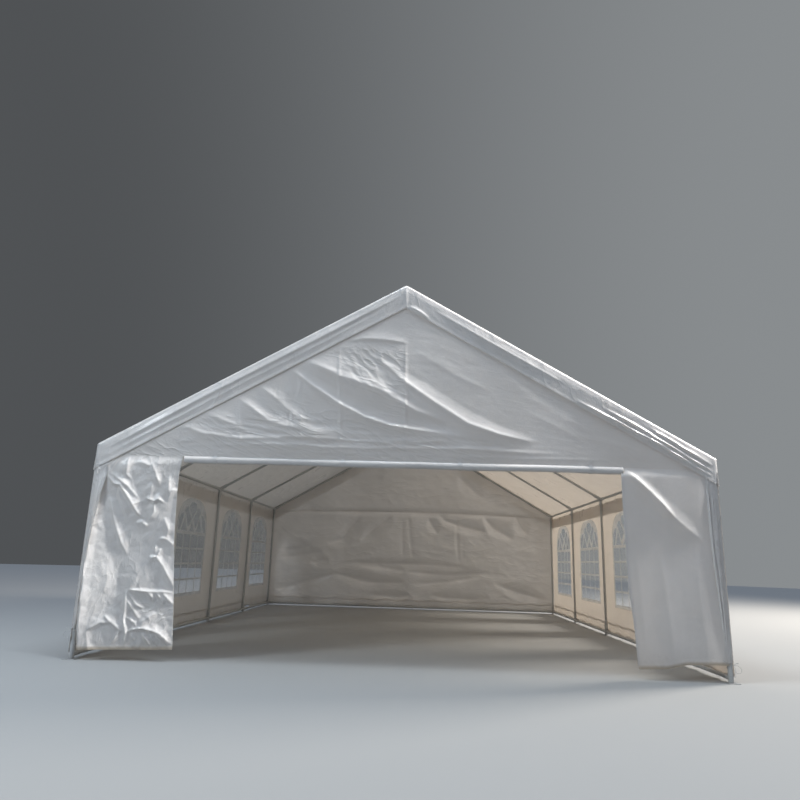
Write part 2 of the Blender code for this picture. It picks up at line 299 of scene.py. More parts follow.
TARP_GLOW = (0.90, 0.835, 0.755)
TARP_THINNESS = 0.45


def even(start, end, pitch):
    """Numbers from start to end, evenly spaced at about the pitch."""
    count = max(1, round(abs(end - start) / pitch))
    return [start + (end - start) * step / count for step in range(count + 1)]


def ramp(value, start, end):
    """A smooth step from 0 at the start to 1 at the end."""
    share = min(max((value - start) / (end - start), 0.0), 1.0)
    return share * share * (3 - 2 * share)


def cut_cloth(columns, rows):
    """A flat sheet with a vertex at each crossing of the columns and rows."""
    cloth = bmesh.new()
    across, along = len(columns) - 1, len(rows) - 1
    bmesh.ops.create_grid(cloth, x_segments=across, y_segments=along, size=0.5)
    for point in cloth.verts:
        column, row = round((point.co.x + 0.5) * across), round((point.co.y + 0.5) * along)
        point.co = columns[column], rows[row], 0
    return cloth


def finished(name, shape, finish, slot, *nodes):
    """Makes a worked shape a piece of the tent, with its material and the nodes it stands for. The slot is
    not used.
    """
    for face in shape.faces:
        face.smooth = True
    for edge in shape.edges:
        edge.smooth = len(edge.link_faces) == 2 and edge.calc_face_angle(0) < SHARP_EDGE
    mesh = bpy.data.meshes.new(name)
    shape.to_mesh(mesh)
    shape.free()
    mesh.materials.append(finish)
    piece = bpy.data.objects.new(name, mesh)
    bpy.context.scene.collection.objects.link(piece)
    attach(piece, "root")
    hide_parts(*nodes)
    return piece


def hang_cloth(cloth, hang, thickness=CLOTH, creased=None):
    """Keeps a sheet's flat metres as its UV map, moves each point to where it hangs, and thickens the sheet.

    Creased tells how much fine creasing the cloth has at a spot, where it isn't the same all over.
    """
    flat = cloth.loops.layers.uv.new("flat")
    share = cloth.verts.layers.float.new("creased")
    for point in cloth.verts:
        point[share] = creased(point.co.x, point.co.y) if creased else 1.0
    for face in cloth.faces:
        for corner in face.loops:
            corner[flat].uv = corner.vert.co.xy
    for point in cloth.verts:
        point.co = hang(point.co.x, point.co.y)
    bmesh.ops.remove_doubles(cloth, verts=cloth.verts[:], dist=0.0004)
    cloth.normal_update()
    bmesh.ops.solidify(cloth, geom=cloth.faces[:], thickness=thickness)
    return cloth


# Flat woven tapes, over and under each other
weave, weave_in, weave_end = shader_group("tape_weave", {"Flat": None, "Pitch": WEAVE_PITCH}, "Height")
weave_scale = calculate(weave, "DIVIDE", 2 * math.pi, weave_in["Pitch"])
weave_steps = add_node(weave, "ShaderNodeVectorMath", {0: weave_in["Flat"], "Scale": weave_scale},
                       operation="SCALE").outputs[0]
weave_sides = add_node(weave, "ShaderNodeSeparateXYZ", {0: weave_steps}).outputs
weave_warp = calculate(weave, "SINE", weave_sides[0])
weave_weft = calculate(weave, "SINE", weave_sides[1])
feed(weave_end, {"Height": calculate(weave, "MULTIPLY", weave_warp, weave_weft)})

# Small sharp creases left in a coated sheet by packing
crease_lines, crease_in, crease_end = shader_group("packing_creases", {"Flat": None, "Scale": 5.0}, "Height")
crease_drift = add_node(crease_lines, "ShaderNodeTexNoise",
                        {"Vector": crease_in["Flat"], "Scale": 2.4, "Detail": 2}).outputs["Color"]
crease_bent = add_node(crease_lines, "ShaderNodeVectorMath",
                       {0: crease_drift, 1: (0.35, 0.35, 0.35), 2: crease_in["Flat"]},
                       operation="MULTIPLY_ADD").outputs[0]
crease_ridges = add_node(crease_lines, "ShaderNodeTexNoise",
                         {"Vector": crease_bent, "Scale": crease_in["Scale"], "Detail": 4,
                          "Roughness": 0.55, "Offset": 0.9, "Gain": 1.4}, noise_type="RIDGED_MULTIFRACTAL")
feed(crease_end, {"Height": crease_ridges.outputs[0]})


def shine_through(tree, shader, share, feeds):
    """Gives a material a share of translucence beside its main shader."""
    glow = add_node(tree, "ShaderNodeBsdfTranslucent", feeds)
    both = add_node(tree, "ShaderNodeMixShader", {0: share, 1: shader.outputs[0], 2: glow.outputs[0]})
    feed(tree.nodes["Material Output"], {"Surface": both.outputs[0]})


def tarpaulin(name, crumple, creasing, slant=0, stretch=1.0, soil_reach=0.35, hem_soil=0.0):
    """White woven tarpaulin that light shines through.

    Crumple is the depth of its packing creases and creasing their count a metre. They run at a slant, in
    degrees, and are drawn out that way by the stretch.
    """
    sheet, tree, shader = new_finish(name)
    flat = add_node(tree, "ShaderNodeUVMap", uv_map="flat").outputs[0]
    place = add_node(tree, "ShaderNodeTexCoord").outputs["Object"]
    drawn = add_node(tree, "ShaderNodeMapping",
                     {"Vector": flat, "Rotation": (0, 0, math.radians(slant)), "Scale": (stretch, 1, 1)},
                     vector_type="TEXTURE").outputs[0]
    lines = place_group(tree, crease_lines, {"Flat": drawn, "Scale": creasing})
    share = add_node(tree, "ShaderNodeAttribute", attribute_name="creased").outputs["Fac"]
    creased = bump(tree, calculate(tree, "MULTIPLY", lines, share), strength=1.0, distance=crumple)
    tapes = place_group(tree, weave, {"Flat": flat})
    blotches = speckle(tree, flat, scale=1.7, detail=5, roughness=0.6)
    cloth = mix_colours(tree, spread(tree, blotches, 0.35, 0.75), TARP_WHITE, TARP_SHADE)
    foot_line = add_node(tree, "ShaderNodeSeparateXYZ", {0: flat}).outputs[1]
    hem = spread(tree, foot_line, 0.012, 0.036, start=hem_soil, end=0.0)
    soil = place_group(tree, splash, {"Place": place, "Reach": soil_reach, "Amount": 1.8})
    feed(shader, {"Base Color": mix_colours(tree, soil, mix_colours(tree, hem, cloth, HEM_SOIL), EARTH),
                  "Roughness": spread(tree, blotches, 0.3, 0.8, start=0.25, end=0.4),
                  "Normal": bump(tree, tapes, strength=0.6, distance=WEAVE_DEPTH, Normal=creased),
                  "Coat Weight": 0.5, "Coat Roughness": 0.14})
    shine_through(tree, shader, TARP_THINNESS, {"Color": (*TARP_GLOW, 1), "Normal": creased})
    return sheet


roof_tarp = tarpaulin("roof_tarp", crumple=0.004, creasing=4.0, slant=90, stretch=1.6, soil_reach=0.01)


def drift(*spot):
    """Smooth noise at a spot of three numbers, between -1 and 1."""
    return noise.noise(Vector(spot))


def crinkle(octaves, *spot):
    """Noise with sharp lines in it, from 0 up, at a spot of three numbers."""
    return noise.turbulence(Vector(spot), octaves, True)


def over_arch(reach):
    """The roof's section at a reach in metres from the ridge, left of it if below 0.

    Returns the tube's centre there, the way out, and how far it is down the slope and then down the valance.
    """
    side = -1 if reach < 0 else 1
    gone = abs(reach)
    down = min(max(gone - CROWN, 0), SLOPE)
    turn = PITCH * min(gone / CROWN, 1) + (math.pi / 2 - PITCH) * min(max(gone - CROWN - SLOPE, 0) / BROW, 1)
    drop = max(gone - CROWN - SLOPE - BROW, 0)
    centre = Vector((side * down * math.cos(PITCH), 0, RIDGE - down * math.sin(PITCH) - drop))
    return centre, Vector((side * math.sin(turn), 0, math.cos(turn))), down, drop


def hang_roof(reach, along):
    """Where a point of the roof cover hangs."""
    side = -1 if reach < 0 else 1
    end = -1 if along < 0 else 1
    inside = min(abs(along), HALF_LENGTH) * end
    centre, out, down, drop = over_arch(reach)
    arch = round(inside / BAY) * BAY
    joint = min(math.hypot(down - place, inside - arch) for place in (0, SLOPE / 2, SLOPE))
    lifted = max(1 - ramp(joint, 0.13, 0.24), ramp(down, SLOPE - 0.3, SLOPE - 0.08))
    gap = OVER_TUBE + (OVER_SLEEVE - OVER_TUBE) * lifted
    bay = min(int((inside + HALF_LENGTH) / BAY), BAYS - 1)
    share = (inside + HALF_LENGTH) / BAY - bay
    free = math.sin(math.pi * share) ** 2 * math.sin(math.pi * down / SLOPE) ** 0.7
    sag = ROOF_SAG[side][bay] * (1.1 - 0.25 * drift(reach, along * 0.7, 3))
    gap -= free * (sag + 0.009 * (crinkle(4, reach * 1.3, along * 1.3, 7) - 0.6))
    gap += 0.0068 * ramp(drop, 0, 0.06)
    flutter = drift(along * 2.3, side * 5, 0) + 0.5 * drift(along * 6, side * 9, 1)
    gap += ramp(drop, 0.02, SIDE_DROP + 0.1) * (0.008 + 0.012 * flutter)
    turn = (abs(along) - abs(inside)) / OVER_SLEEVE
    outward = out * math.cos(turn) + Vector((0, end, 0)) * math.sin(turn)
    return centre + Vector((0, inside, 0)) + outward * gap


def mirrored(values):
    """Numbers that start at 0, with their negatives before them."""
    return [-value for value in reversed(values[1:])] + values


half_columns = even(0, CROWN, 0.005) + even(CROWN, CROWN + SLOPE, ROOF_GRID)[1:]
half_columns += even(CROWN + SLOPE, CROWN + SLOPE + BROW, BEND_GRID)[1:]
half_columns += even(CROWN + SLOPE + BROW, CROWN + SLOPE + BROW + SIDE_DROP, DROP_GRID)[1:]
roof_bend = even(HALF_LENGTH, HALF_LENGTH + OVER_SLEEVE * ROOF_BEND, BEND_GRID)[1:]
roof_rows = [-row for row in reversed(roof_bend)] + even(-HALF_LENGTH, HALF_LENGTH, ROOF_GRID) + roof_bend
roof_cloth = hang_cloth(cut_cloth(mirrored(half_columns), roof_rows), hang_roof)
roof_cover = finished("roof_sheet", roof_cloth, roof_tarp, "roof_tarpaulin", "roof_cover")


# End valances. A strip is welded on top of the roof's front and rear edges. It turns down over the end
# rafter, hangs in front of the gable and runs a hand's width round each corner. Its lower edge is hemmed.
VALANCE_DROP = 0.2276
VALANCE_LAP = 0.03
VALANCE_WRAP = 0.05
VALANCE_FRONT = 0.0352
VALANCE_TOP = 0.0300
VALANCE_GRID = 0.011
COARSER = 2.5
WRAP_GRID = 0.009
TURN_GRID = 0.008
LAP_GRID = 0.015
VALANCE_HEM = 0.025
HEM_STEP = 0.0016


def crease(lift, left, right, *points):
    """One fold line: its height, how fast it fades to its left and right, and its points."""
    parts, run = [], 0.0
    for first, last in zip(points, points[1:]):
        way = Vector(last) - Vector(first)
        parts.append((Vector(first), way.normalized(), way.length, run))
        run += way.length
    reach = 3 * max(left, right)
    low = [min(point[axis] for point in points) - reach for axis in (0, 1)]
    high = [max(point[axis] for point in points) + reach for axis in (0, 1)]
    return lift, left, right, parts, run, low, high


def rise(across, up, creases):
    """How far a sheet's creases lift it at a spot. Each one dies away towards its ends."""
    spot, height = Vector((across, up)), 0.0
    for lift, left, right, parts, run, low, high in creases:
        if low[0] < across < high[0] and low[1] < up < high[1]:
            gap, turn, place = math.inf, 0.0, 0.0
            for start, way, length, gone in parts:
                past = spot - start
                along = min(max(past.dot(way), 0.0), length)
                off = (past - way * along).length
                if off < gap:
                    gap, turn, place = off, way.cross(past), gone + along
            taper = min(1.0, 3 * place / run, 3 * (run - place) / run)
            width = (left if turn > 0 else right) * (0.35 + 0.65 * taper)
            flank, edge = max(0.0, 1 - gap / (3 * width)), max(0.0, 1 - gap / (0.8 * width))
            height += lift * taper * (2 - taper) * (0.78 * flank ** 1.2 + 0.22 * edge)
    return height


def crumpled(across, up, patches):
    """How far patches of close wrinkles lift a sheet at a spot.

    A patch is its place, its reach each way, its wrinkles' way in degrees, their pitch, how long they are for
    their pitch, and their height.
    """
    height = 0.0
    for place, reach, way, pitch, stretch, lift in patches:
        off = Vector((across - place[0], up - place[1]))
        fade = math.exp(-((off.x / reach[0]) ** 2) - (off.y / reach[1]) ** 2)
        if fade > 0.03:
            off.rotate(Matrix.Rotation(-math.radians(way), 2))
            wrinkle = drift(off.x / (pitch * stretch), off.y / pitch, place[0] * 9 + place[1] * 5)
            height += lift * fade * (1 - 2.4 * abs(wrinkle))
    return height


def facets(across, up, scale, seed):
    """A crumpled sheet's flat facets, from 0 in the creases between them to about 1 in their middles."""
    gaps = noise.voronoi(Vector((across / scale, up / scale, seed)))[0]
    return min(gaps[1] - gaps[0], 0.8)


def on_side(side, along, up, out):
    """A place on one side of the tent, as someone outside who faces it sees it: to the right, up and out."""
    if side == "front":
        return Vector((along, -HALF_LENGTH - out, up))
    if side == "rear":
        return Vector((-along, HALF_LENGTH + out, up))
    if side == "right":
        return Vector((HALF_WIDTH + out, along, up))
    return Vector((-HALF_WIDTH - out, -along, up))


# Distances along the valance: the middle of the tent is 0, and past the post it turns the corner
CORNER_RUN = VALANCE_FRONT * math.pi / 2
FRONT_VALANCE_FOLDS = [
    crease(0.013, 0.028, 0.022, (-2.93, 0.15), (-2.0, 0.165), (-1.0, 0.158), (-0.04, 0.163)),
    crease(0.007, 0.016, 0.022, (-2.9, 0.082), (-1.6, 0.097), (-0.9, 0.09), (-0.3, 0.1)),
    crease(0.022, 0.010, 0.022, (1.7, 0.045), (2.02, 0.06), (2.47, 0.075), (2.98, 0.052)),
    crease(0.019, 0.009, 0.018, (1.95, 0.125), (2.25, 0.13), (2.56, 0.12), (2.99, 0.105)),
    crease(0.014, 0.008, 0.014, (2.4, 0.19), (2.72, 0.175), (2.99, 0.165)),
    crease(0.010, 0.02, 0.03, (0.3, 0.15), (0.9, 0.14), (1.6, 0.15)),
    crease(0.012, 0.012, 0.02, (0.03, 0.03), (0.11, 0.045), (0.24, 0.035)),
    crease(0.004, 0.008, 0.008, (0.0, 0.0), (0.0, 0.12), (0.0, 0.23)),
]
REAR_VALANCE_FOLDS = [
    crease(0.008, 0.03, 0.02, (-2.9, 0.07), (-2.4, 0.08), (-1.9, 0.05)),
    crease(0.006, 0.04, 0.03, (-1.8, 0.13), (-0.9, 0.15), (-0.1, 0.14)),
    crease(0.006, 0.04, 0.03, (0.2, 0.12), (1.2, 0.14), (2.8, 0.13)),
    crease(0.003, 0.008, 0.008, (0.0, 0.0), (0.0, 0.12), (0.0, 0.23)),
]


def valance_hanger(side, folds):
    """Makes the rule by which the valance over one gable hangs."""
    def hang(along, up):
        """Where a point of the valance goes. Up is 0 at its lower edge."""
        end = -1 if along < 0 else 1
        reach = min(abs(along), HALF_WIDTH)
        turned = min(max((abs(along) - HALF_WIDTH) / CORNER_RUN, 0.0), 1.0)
        behind = max(abs(along) - HALF_WIDTH - CORNER_RUN, 0.0)
        centre = Vector((end * reach, HALF_LENGTH - behind, RIDGE - reach * math.tan(PITCH)))
        forward = Vector((end * math.sin(turned * math.pi / 2), math.cos(turned * math.pi / 2), 0))
        lean = math.sin(PITCH) * min(reach / 0.03, 1)
        upward = Vector((end * lean, 0, math.sqrt(1 - lean * lean)))
        drop = VALANCE_DROP + (SIDE_DROP - VALANCE_DROP) * turned
        if up <= VALANCE_DROP:
            hung = 1 - up / VALANCE_DROP
            place = centre + forward * VALANCE_FRONT - Vector((0, 0, drop * hung))
            free = ramp(hung, 0.0, 0.2) * (1 - 0.6 * ramp(abs(along), HALF_WIDTH - 0.06, HALF_WIDTH))
            lift = rise(along, up, folds) + HEM_STEP * (1 - ramp(up, VALANCE_HEM, VALANCE_HEM + 0.006))
            lift += 0.0025 * drift(along * 1.4, up * 4, 11) + 0.0025
            lift += 0.0012 * crinkle(3, along * 5, up * 9, 3)
            return place + forward * (free * lift)
        over = min((up - VALANCE_DROP) / CORNER_RUN, 1.0)
        mitre = (HALF_WIDTH - reach) / math.cos(PITCH) + behind
        lapped = min(max(up - VALANCE_DROP - CORNER_RUN, 0.0), mitre)
        turn = forward.angle(upward) * over
        square = (upward - forward * forward.dot(upward)).normalized()
        gap = VALANCE_FRONT + (VALANCE_TOP - VALANCE_FRONT) * over
        inward = (forward.dot(upward) * upward - forward).normalized()
        return centre + (forward * math.cos(turn) + square * math.sin(turn)) * gap + inward * lapped

    def facing(along, up):
        """The same place, turned to its own end of the tent."""
        place = hang(along, up)
        return on_side(side, place.x, place.z, place.y - HALF_LENGTH)
    return facing


valance_reach = HALF_WIDTH + CORNER_RUN + VALANCE_WRAP
valance_top = VALANCE_DROP + CORNER_RUN
for side, folds in (("front", FRONT_VALANCE_FOLDS), ("rear", REAR_VALANCE_FOLDS)):
    pitch = VALANCE_GRID if side == "front" else COARSER * VALANCE_GRID
    columns = mirrored(even(0, HALF_WIDTH, pitch) + even(HALF_WIDTH, valance_reach, WRAP_GRID)[1:])
    rows = even(0, VALANCE_DROP, pitch) + even(VALANCE_DROP, valance_top, TURN_GRID)[1:]
    rows += even(valance_top, valance_top + VALANCE_LAP, LAP_GRID)[1:]
    valance_cloth = hang_cloth(cut_cloth(columns, rows), valance_hanger(side, folds))
    valance = finished(f"{side}_valance", valance_cloth, roof_tarp, "roof_tarpaulin", "roof_cover")


# Front gable. One creased sheet closes the end of the tent above the doorway. It is held along both rafters,
# under the valance, and its lower edge runs straight across above the rolled door.
GABLE_OUT = 0.0269
GABLE_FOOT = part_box("front_gable")[0].z - 0.004
GABLE_GRID = 0.0128
EDGE_LAP = 0.018
RAFTER_GAP = 0.004
GABLE_FOLDS = [
    crease(0.012, 0.03, 0.012, (-0.64, 3.135), (-0.4, 3.165), (-0.2, 3.155), (0.04, 3.12)),
    crease(0.007, 0.014, 0.008, (-0.67, 3.12), (-0.65, 2.7), (-0.62, 2.4), (-0.61, 1.98)),
    crease(0.007, 0.008, 0.014, (0.01, 3.14), (0.02, 2.7), (0.03, 2.4), (0.04, 1.98)),
    crease(0.006, 0.012, 0.008, (-1.65, 2.53), (-1.62, 2.3), (-1.6, 2.0)),
    crease(0.004, 0.012, 0.01, (-1.02, 2.6), (-1.01, 2.3), (-1.0, 2.05)),
    crease(0.024, 0.04, 0.09, (-1.2, 2.87), (-0.9, 2.65), (-0.63, 2.47), (-0.37, 2.34), (-0.11, 2.26),
           (0.65, 2.16)),
    crease(0.010, 0.010, 0.02, (-1.18, 2.86), (-0.9, 2.65), (-0.63, 2.47), (-0.37, 2.34), (-0.11, 2.26),
           (0.3, 2.2)),
    crease(0.034, 0.08, 0.085, (-1.12, 2.98), (-0.64, 2.76), (-0.25, 2.63), (0.14, 2.41), (0.45, 2.3)),
    crease(0.028, 0.04, 0.06, (-0.25, 2.95), (-0.02, 2.74), (0.26, 2.54), (0.64, 2.3), (0.94, 2.2),
           (1.3, 2.13)),
    crease(0.020, 0.03, 0.06, (-1.72, 2.56), (-1.5, 2.41), (-1.31, 2.27), (-0.87, 2.2), (-0.5, 2.19)),
    crease(0.015, 0.025, 0.04, (-2.3, 2.26), (-1.99, 2.15), (-1.63, 2.1), (-1.2, 2.09)),
    crease(0.015, 0.03, 0.05, (-1.5, 2.68), (-1.25, 2.5), (-1.05, 2.33), (-0.8, 2.27)),
    crease(0.012, 0.03, 0.04, (-2.05, 2.4), (-1.8, 2.29), (-1.5, 2.16)),
    crease(0.004, 0.05, 0.05, (0.1, 3.05), (0.5, 2.8), (0.9, 2.62)),
    crease(0.005, 0.08, 0.10, (0.9, 2.9), (1.3, 2.55), (1.9, 2.2)),
    crease(0.004, 0.06, 0.08, (1.2, 2.45), (1.7, 2.2), (2.4, 2.06)),
    crease(0.010, 0.018, 0.02, (-2.15, 2.02), (-1.3, 2.045), (-0.3, 2.03), (0.6, 2.05), (1.5, 2.02)),
    crease(0.008, 0.012, 0.02, (-2.0, 1.97), (-0.9, 1.965), (0.2, 1.975), (1.2, 1.965), (2.1, 1.975)),
    crease(0.009, 0.016, 0.02, (-1.8, 2.1), (-1.0, 2.125), (-0.2, 2.1), (0.5, 2.11)),
    crease(0.006, 0.012, 0.015, (-1.3, 2.17), (-0.7, 2.165), (-0.1, 2.17)),
]
GABLE_WRINKLES = [
    ((-1.17, 2.62), (0.15, 0.16), 88, 0.05, 6, 0.006),
    ((-1.1, 2.33), (0.2, 0.08), 88, 0.05, 4, 0.005),
    ((-0.38, 2.88), (0.24, 0.22), -48, 0.06, 3.0, 0.006),
    ((-0.1, 2.6), (0.25, 0.10), -40, 0.05, 2.5, 0.005),
    ((-1.5, 2.2), (0.6, 0.12), -10, 0.055, 4.0, 0.006),
    ((-0.5, 2.1), (0.9, 0.08), -3, 0.04, 9, 0.005),
    ((0.7, 2.06), (0.7, 0.06), -3, 0.045, 8, 0.004),
]
gable_tarp = tarpaulin("gable_tarp", crumple=0.0035, creasing=13.0, slant=-16, stretch=3.2)


def hang_gable(across, up):
    """Where a point of the front gable goes."""
    below_rafter = RIDGE - abs(across) * math.tan(PITCH) - up
    free = ramp(below_rafter, 0.1, 0.45)
    held = ramp(up, GABLE_FOOT, GABLE_FOOT + 0.12)
    left = 1 - ramp(across, 0.4, 1.5)
    lift = rise(across, up, GABLE_FOLDS) + crumpled(across, up, GABLE_WRINKLES)
    lift += 0.014 * (0.5 + drift(across * 0.9, up * 1.3, 21)) * held
    lift += 0.0025 * left * facets(across + 0.5 * up, 1.4 * up, 0.24, 5)
    return on_side("front", across, up, GABLE_OUT + free * (0.35 + 0.65 * held) * max(lift, 0.0))


def gable_creasing(across, up):
    """How finely the gable is creased: most at its lower left, hardly at all on its right."""
    low = 1 - ramp(up + 0.25 * abs(across + 1), 2.3, 2.7)
    packed = ramp(across, -0.95, -0.5) * (1 - ramp(across, 0.0, 0.06)) * (1 - ramp(up, 3.0, 3.15))
    above_swag = ramp(up + 0.75 * across, 2.2, 2.5)
    return 0.12 + 0.9 * (1 - ramp(across, 0.0, 1.6)) * low + 0.8 * packed * above_swag


def trim(cloth, place, way):
    """Cuts off what lies beyond a line through a place on a flat sheet, on the way's own side."""
    everything = cloth.verts[:] + cloth.edges[:] + cloth.faces[:]
    bmesh.ops.bisect_plane(cloth, geom=everything, plane_co=place, plane_no=way, clear_outer=True,
                           dist=0.0001)


def gable_cloth(foot, side_edge, grid):
    """A flat sheet cut to the tent's end, from its foot up to just under the rafters."""
    top = RIDGE - RAFTER_GAP
    cloth = cut_cloth(even(-side_edge, side_edge, grid), even(foot, top + grid, grid))
    for side in (-1, 1):
        trim(cloth, (0, top, 0), (side * math.sin(PITCH), math.cos(PITCH), 0))
    return cloth


gable_edge = HALF_WIDTH + EDGE_LAP
gable_sheet = hang_cloth(gable_cloth(GABLE_FOOT, gable_edge, GABLE_GRID), hang_gable, creased=gable_creasing)
front_gable = finished("gable_sheet", gable_sheet, gable_tarp, "wall_tarpaulin", "front_gable")


# Front flaps. A strip of the same sheet closes the front between each corner post and the doorway. The left
# one has been packed tight and is full of creases. The right one hangs smooth, with one long diagonal fold.
FLAP_FOOT_LEFT = ((-3.1, 0.05), (-2.92, 0.09), (-2.5, 0.1), (-2.07, 0.11))
FLAP_FOOT_RIGHT = ((2.0, 0.09), (2.19, 0.09), (2.44, 0.1), (2.61, 0.14), (2.88, 0.15), (3.1, 0.15))
FLAP_EDGE_LEFT = ((0.0, -2.07), (0.11, -2.07), (0.55, -2.1), (1.06, -2.15), (1.5, -2.17), (1.75, -2.17),
                  (1.91, -2.15))
FLAP_EDGE_RIGHT = ((0.0, 2.19), (0.09, 2.19), (0.42, 2.17), (0.81, 2.13), (1.57, 2.11), (1.91, 2.11))
FLAP_OUTER = ((0.0, 2.93), (0.09, 2.93), (0.3, 2.965), (0.55, 2.965), (0.8, 2.985), (1.91, 2.985))
FLAP_FINE = 0.0085
FLAP_COARSE = 0.016
FLAP_TOP = GABLE_FOOT - 0.001
FLAP_HEM = 0.03
FLAP_SWING = 0.04
FLAP_WIDTH = 0.9
FLAP_HEIGHT = FLAP_TOP - 0.1
LEFT_FOLDS = [
    crease(0.040, 0.090, 0.020, (-2.965, 1.62), (-2.965, 0.9), (-2.93, 0.1)),
    crease(0.025, 0.030, 0.013, (-2.89, 1.71), (-2.80, 1.62), (-2.74, 1.61), (-2.64, 1.49), (-2.53, 1.34),
           (-2.44, 1.28)),
    crease(0.012, 0.020, 0.012, (-2.87, 1.73), (-2.79, 1.69), (-2.66, 1.60), (-2.54, 1.48)),
    crease(0.012, 0.013, 0.013, (-2.76, 1.61), (-2.72, 1.49), (-2.67, 1.39), (-2.63, 1.30)),
    crease(0.019, 0.030, 0.016, (-2.84, 1.51), (-2.80, 1.44), (-2.76, 1.31), (-2.74, 1.25), (-2.66, 1.07),
           (-2.58, 0.94)),
    crease(0.014, 0.028, 0.020, (-2.68, 1.99), (-2.69, 1.82), (-2.69, 1.72), (-2.63, 1.66)),
    crease(0.009, 0.012, 0.020, (-2.58, 1.86), (-2.46, 1.80)),
    crease(0.012, 0.016, 0.026, (-2.46, 1.84), (-2.40, 1.74), (-2.34, 1.60)),
    crease(0.015, 0.024, 0.014, (-2.26, 1.70), (-2.25, 1.57), (-2.23, 1.54), (-2.25, 1.46)),
    crease(0.010, 0.010, 0.012, (-2.23, 1.57), (-2.17, 1.57)),
    crease(0.021, 0.022, 0.012, (-2.47, 1.49), (-2.38, 1.46), (-2.34, 1.48), (-2.28, 1.45)),
    crease(0.007, 0.022, 0.022, (-2.42, 1.64), (-2.42, 1.52), (-2.43, 1.46)),
    crease(0.014, 0.016, 0.024, (-2.38, 1.46), (-2.37, 1.36), (-2.42, 1.26)),
    crease(0.015, 0.012, 0.024, (-2.54, 1.25), (-2.47, 1.26), (-2.42, 1.22)),
    crease(0.012, 0.020, 0.026, (-2.27, 1.31), (-2.21, 1.19), (-2.23, 1.12)),
    crease(0.013, 0.014, 0.022, (-2.30, 1.11), (-2.23, 1.11), (-2.15, 1.05)),
    crease(0.012, 0.012, 0.012, (-2.32, 1.05), (-2.32, 0.96)),
    crease(0.012, 0.012, 0.014, (-2.27, 1.02), (-2.29, 0.95)),
    crease(0.016, 0.016, 0.024, (-2.38, 0.86), (-2.35, 0.93), (-2.30, 0.94), (-2.22, 0.84), (-2.14, 0.72),
           (-2.10, 0.64)),
    crease(0.017, 0.010, 0.024, (-2.55, 0.63), (-2.46, 0.63), (-2.35, 0.62), (-2.11, 0.62)),
    crease(0.018, 0.018, 0.014, (-2.55, 0.64), (-2.54, 0.46), (-2.54, 0.36), (-2.51, 0.26), (-2.51, 0.13)),
    crease(0.014, 0.012, 0.010, (-2.53, 0.60), (-2.44, 0.50), (-2.36, 0.46)),
    crease(0.017, 0.016, 0.010, (-2.53, 0.54), (-2.44, 0.42), (-2.40, 0.37)),
    crease(0.014, 0.012, 0.010, (-2.35, 0.61), (-2.31, 0.58), (-2.27, 0.52)),
    crease(0.015, 0.012, 0.010, (-2.27, 0.61), (-2.21, 0.55), (-2.17, 0.51)),
    crease(0.015, 0.012, 0.010, (-2.21, 0.61), (-2.10, 0.51)),
    crease(0.014, 0.012, 0.010, (-2.53, 0.39), (-2.44, 0.34), (-2.41, 0.30)),
    crease(0.012, 0.018, 0.018, (-2.24, 0.44), (-2.32, 0.38), (-2.40, 0.33)),
    crease(0.022, 0.022, 0.012, (-2.49, 0.26), (-2.44, 0.28), (-2.36, 0.29), (-2.26, 0.27), (-2.19, 0.24),
           (-2.08, 0.15)),
    crease(0.011, 0.011, 0.011, (-2.46, 0.24), (-2.42, 0.18)),
    crease(0.013, 0.012, 0.010, (-2.36, 0.25), (-2.31, 0.19), (-2.26, 0.13)),
    crease(0.013, 0.012, 0.010, (-2.29, 0.25), (-2.21, 0.14)),
    crease(0.013, 0.012, 0.010, (-2.22, 0.24), (-2.11, 0.15)),
    crease(0.013, 0.018, 0.014, (-2.73, 0.40), (-2.63, 0.32), (-2.56, 0.27), (-2.51, 0.26)),
    crease(0.012, 0.010, 0.010, (-2.56, 0.27), (-2.60, 0.20), (-2.62, 0.15)),
    crease(0.015, 0.030, 0.012, (-2.87, 0.26), (-2.80, 0.30), (-2.75, 0.33), (-2.65, 0.33)),
    crease(0.007, 0.016, 0.026, (-2.87, 0.27), (-2.83, 0.08)),
    crease(0.006, 0.030, 0.030, (-2.77, 0.86), (-2.73, 0.70), (-2.76, 0.59)),
]
LEFT_WRINKLES = [
    ((-2.35, 1.89), (0.2, 0.05), 88, 0.035, 3, 0.004),
    ((-2.55, 1.5), (0.12, 0.2), 50, 0.07, 2.0, 0.004),
    ((-2.35, 0.4), (0.2, 0.2), -45, 0.07, 2.2, 0.005),
    ((-2.65, 1.1), (0.1, 0.1), 60, 0.05, 2.0, 0.003),
]
RIGHT_FOLDS = [
    crease(0.030, 0.020, 0.045, (2.13, 1.9), (2.26, 1.78), (2.37, 1.68), (2.47, 1.57), (2.59, 1.43)),
    crease(0.014, 0.03, 0.05, (2.4, 1.65), (2.51, 1.53), (2.59, 1.44), (2.69, 1.35), (2.84, 1.23)),
    crease(0.005, 0.05, 0.05, (2.43, 1.1), (2.46, 0.85), (2.49, 0.5), (2.51, 0.1)),
    crease(0.006, 0.06, 0.06, (2.75, 1.1), (2.78, 0.7), (2.8, 0.15)),
    crease(0.004, 0.05, 0.04, (2.2, 1.2), (2.24, 0.7), (2.26, 0.2)),
]


def follow(line, place):
    """Reads a line of (place, value) pairs at any place between them."""
    for (start, first), (end, last) in zip(line, line[1:]):
        if place <= end:
            return first + (last - first) * max(0.0, (place - start) / (end - start))
    return line[-1][1]


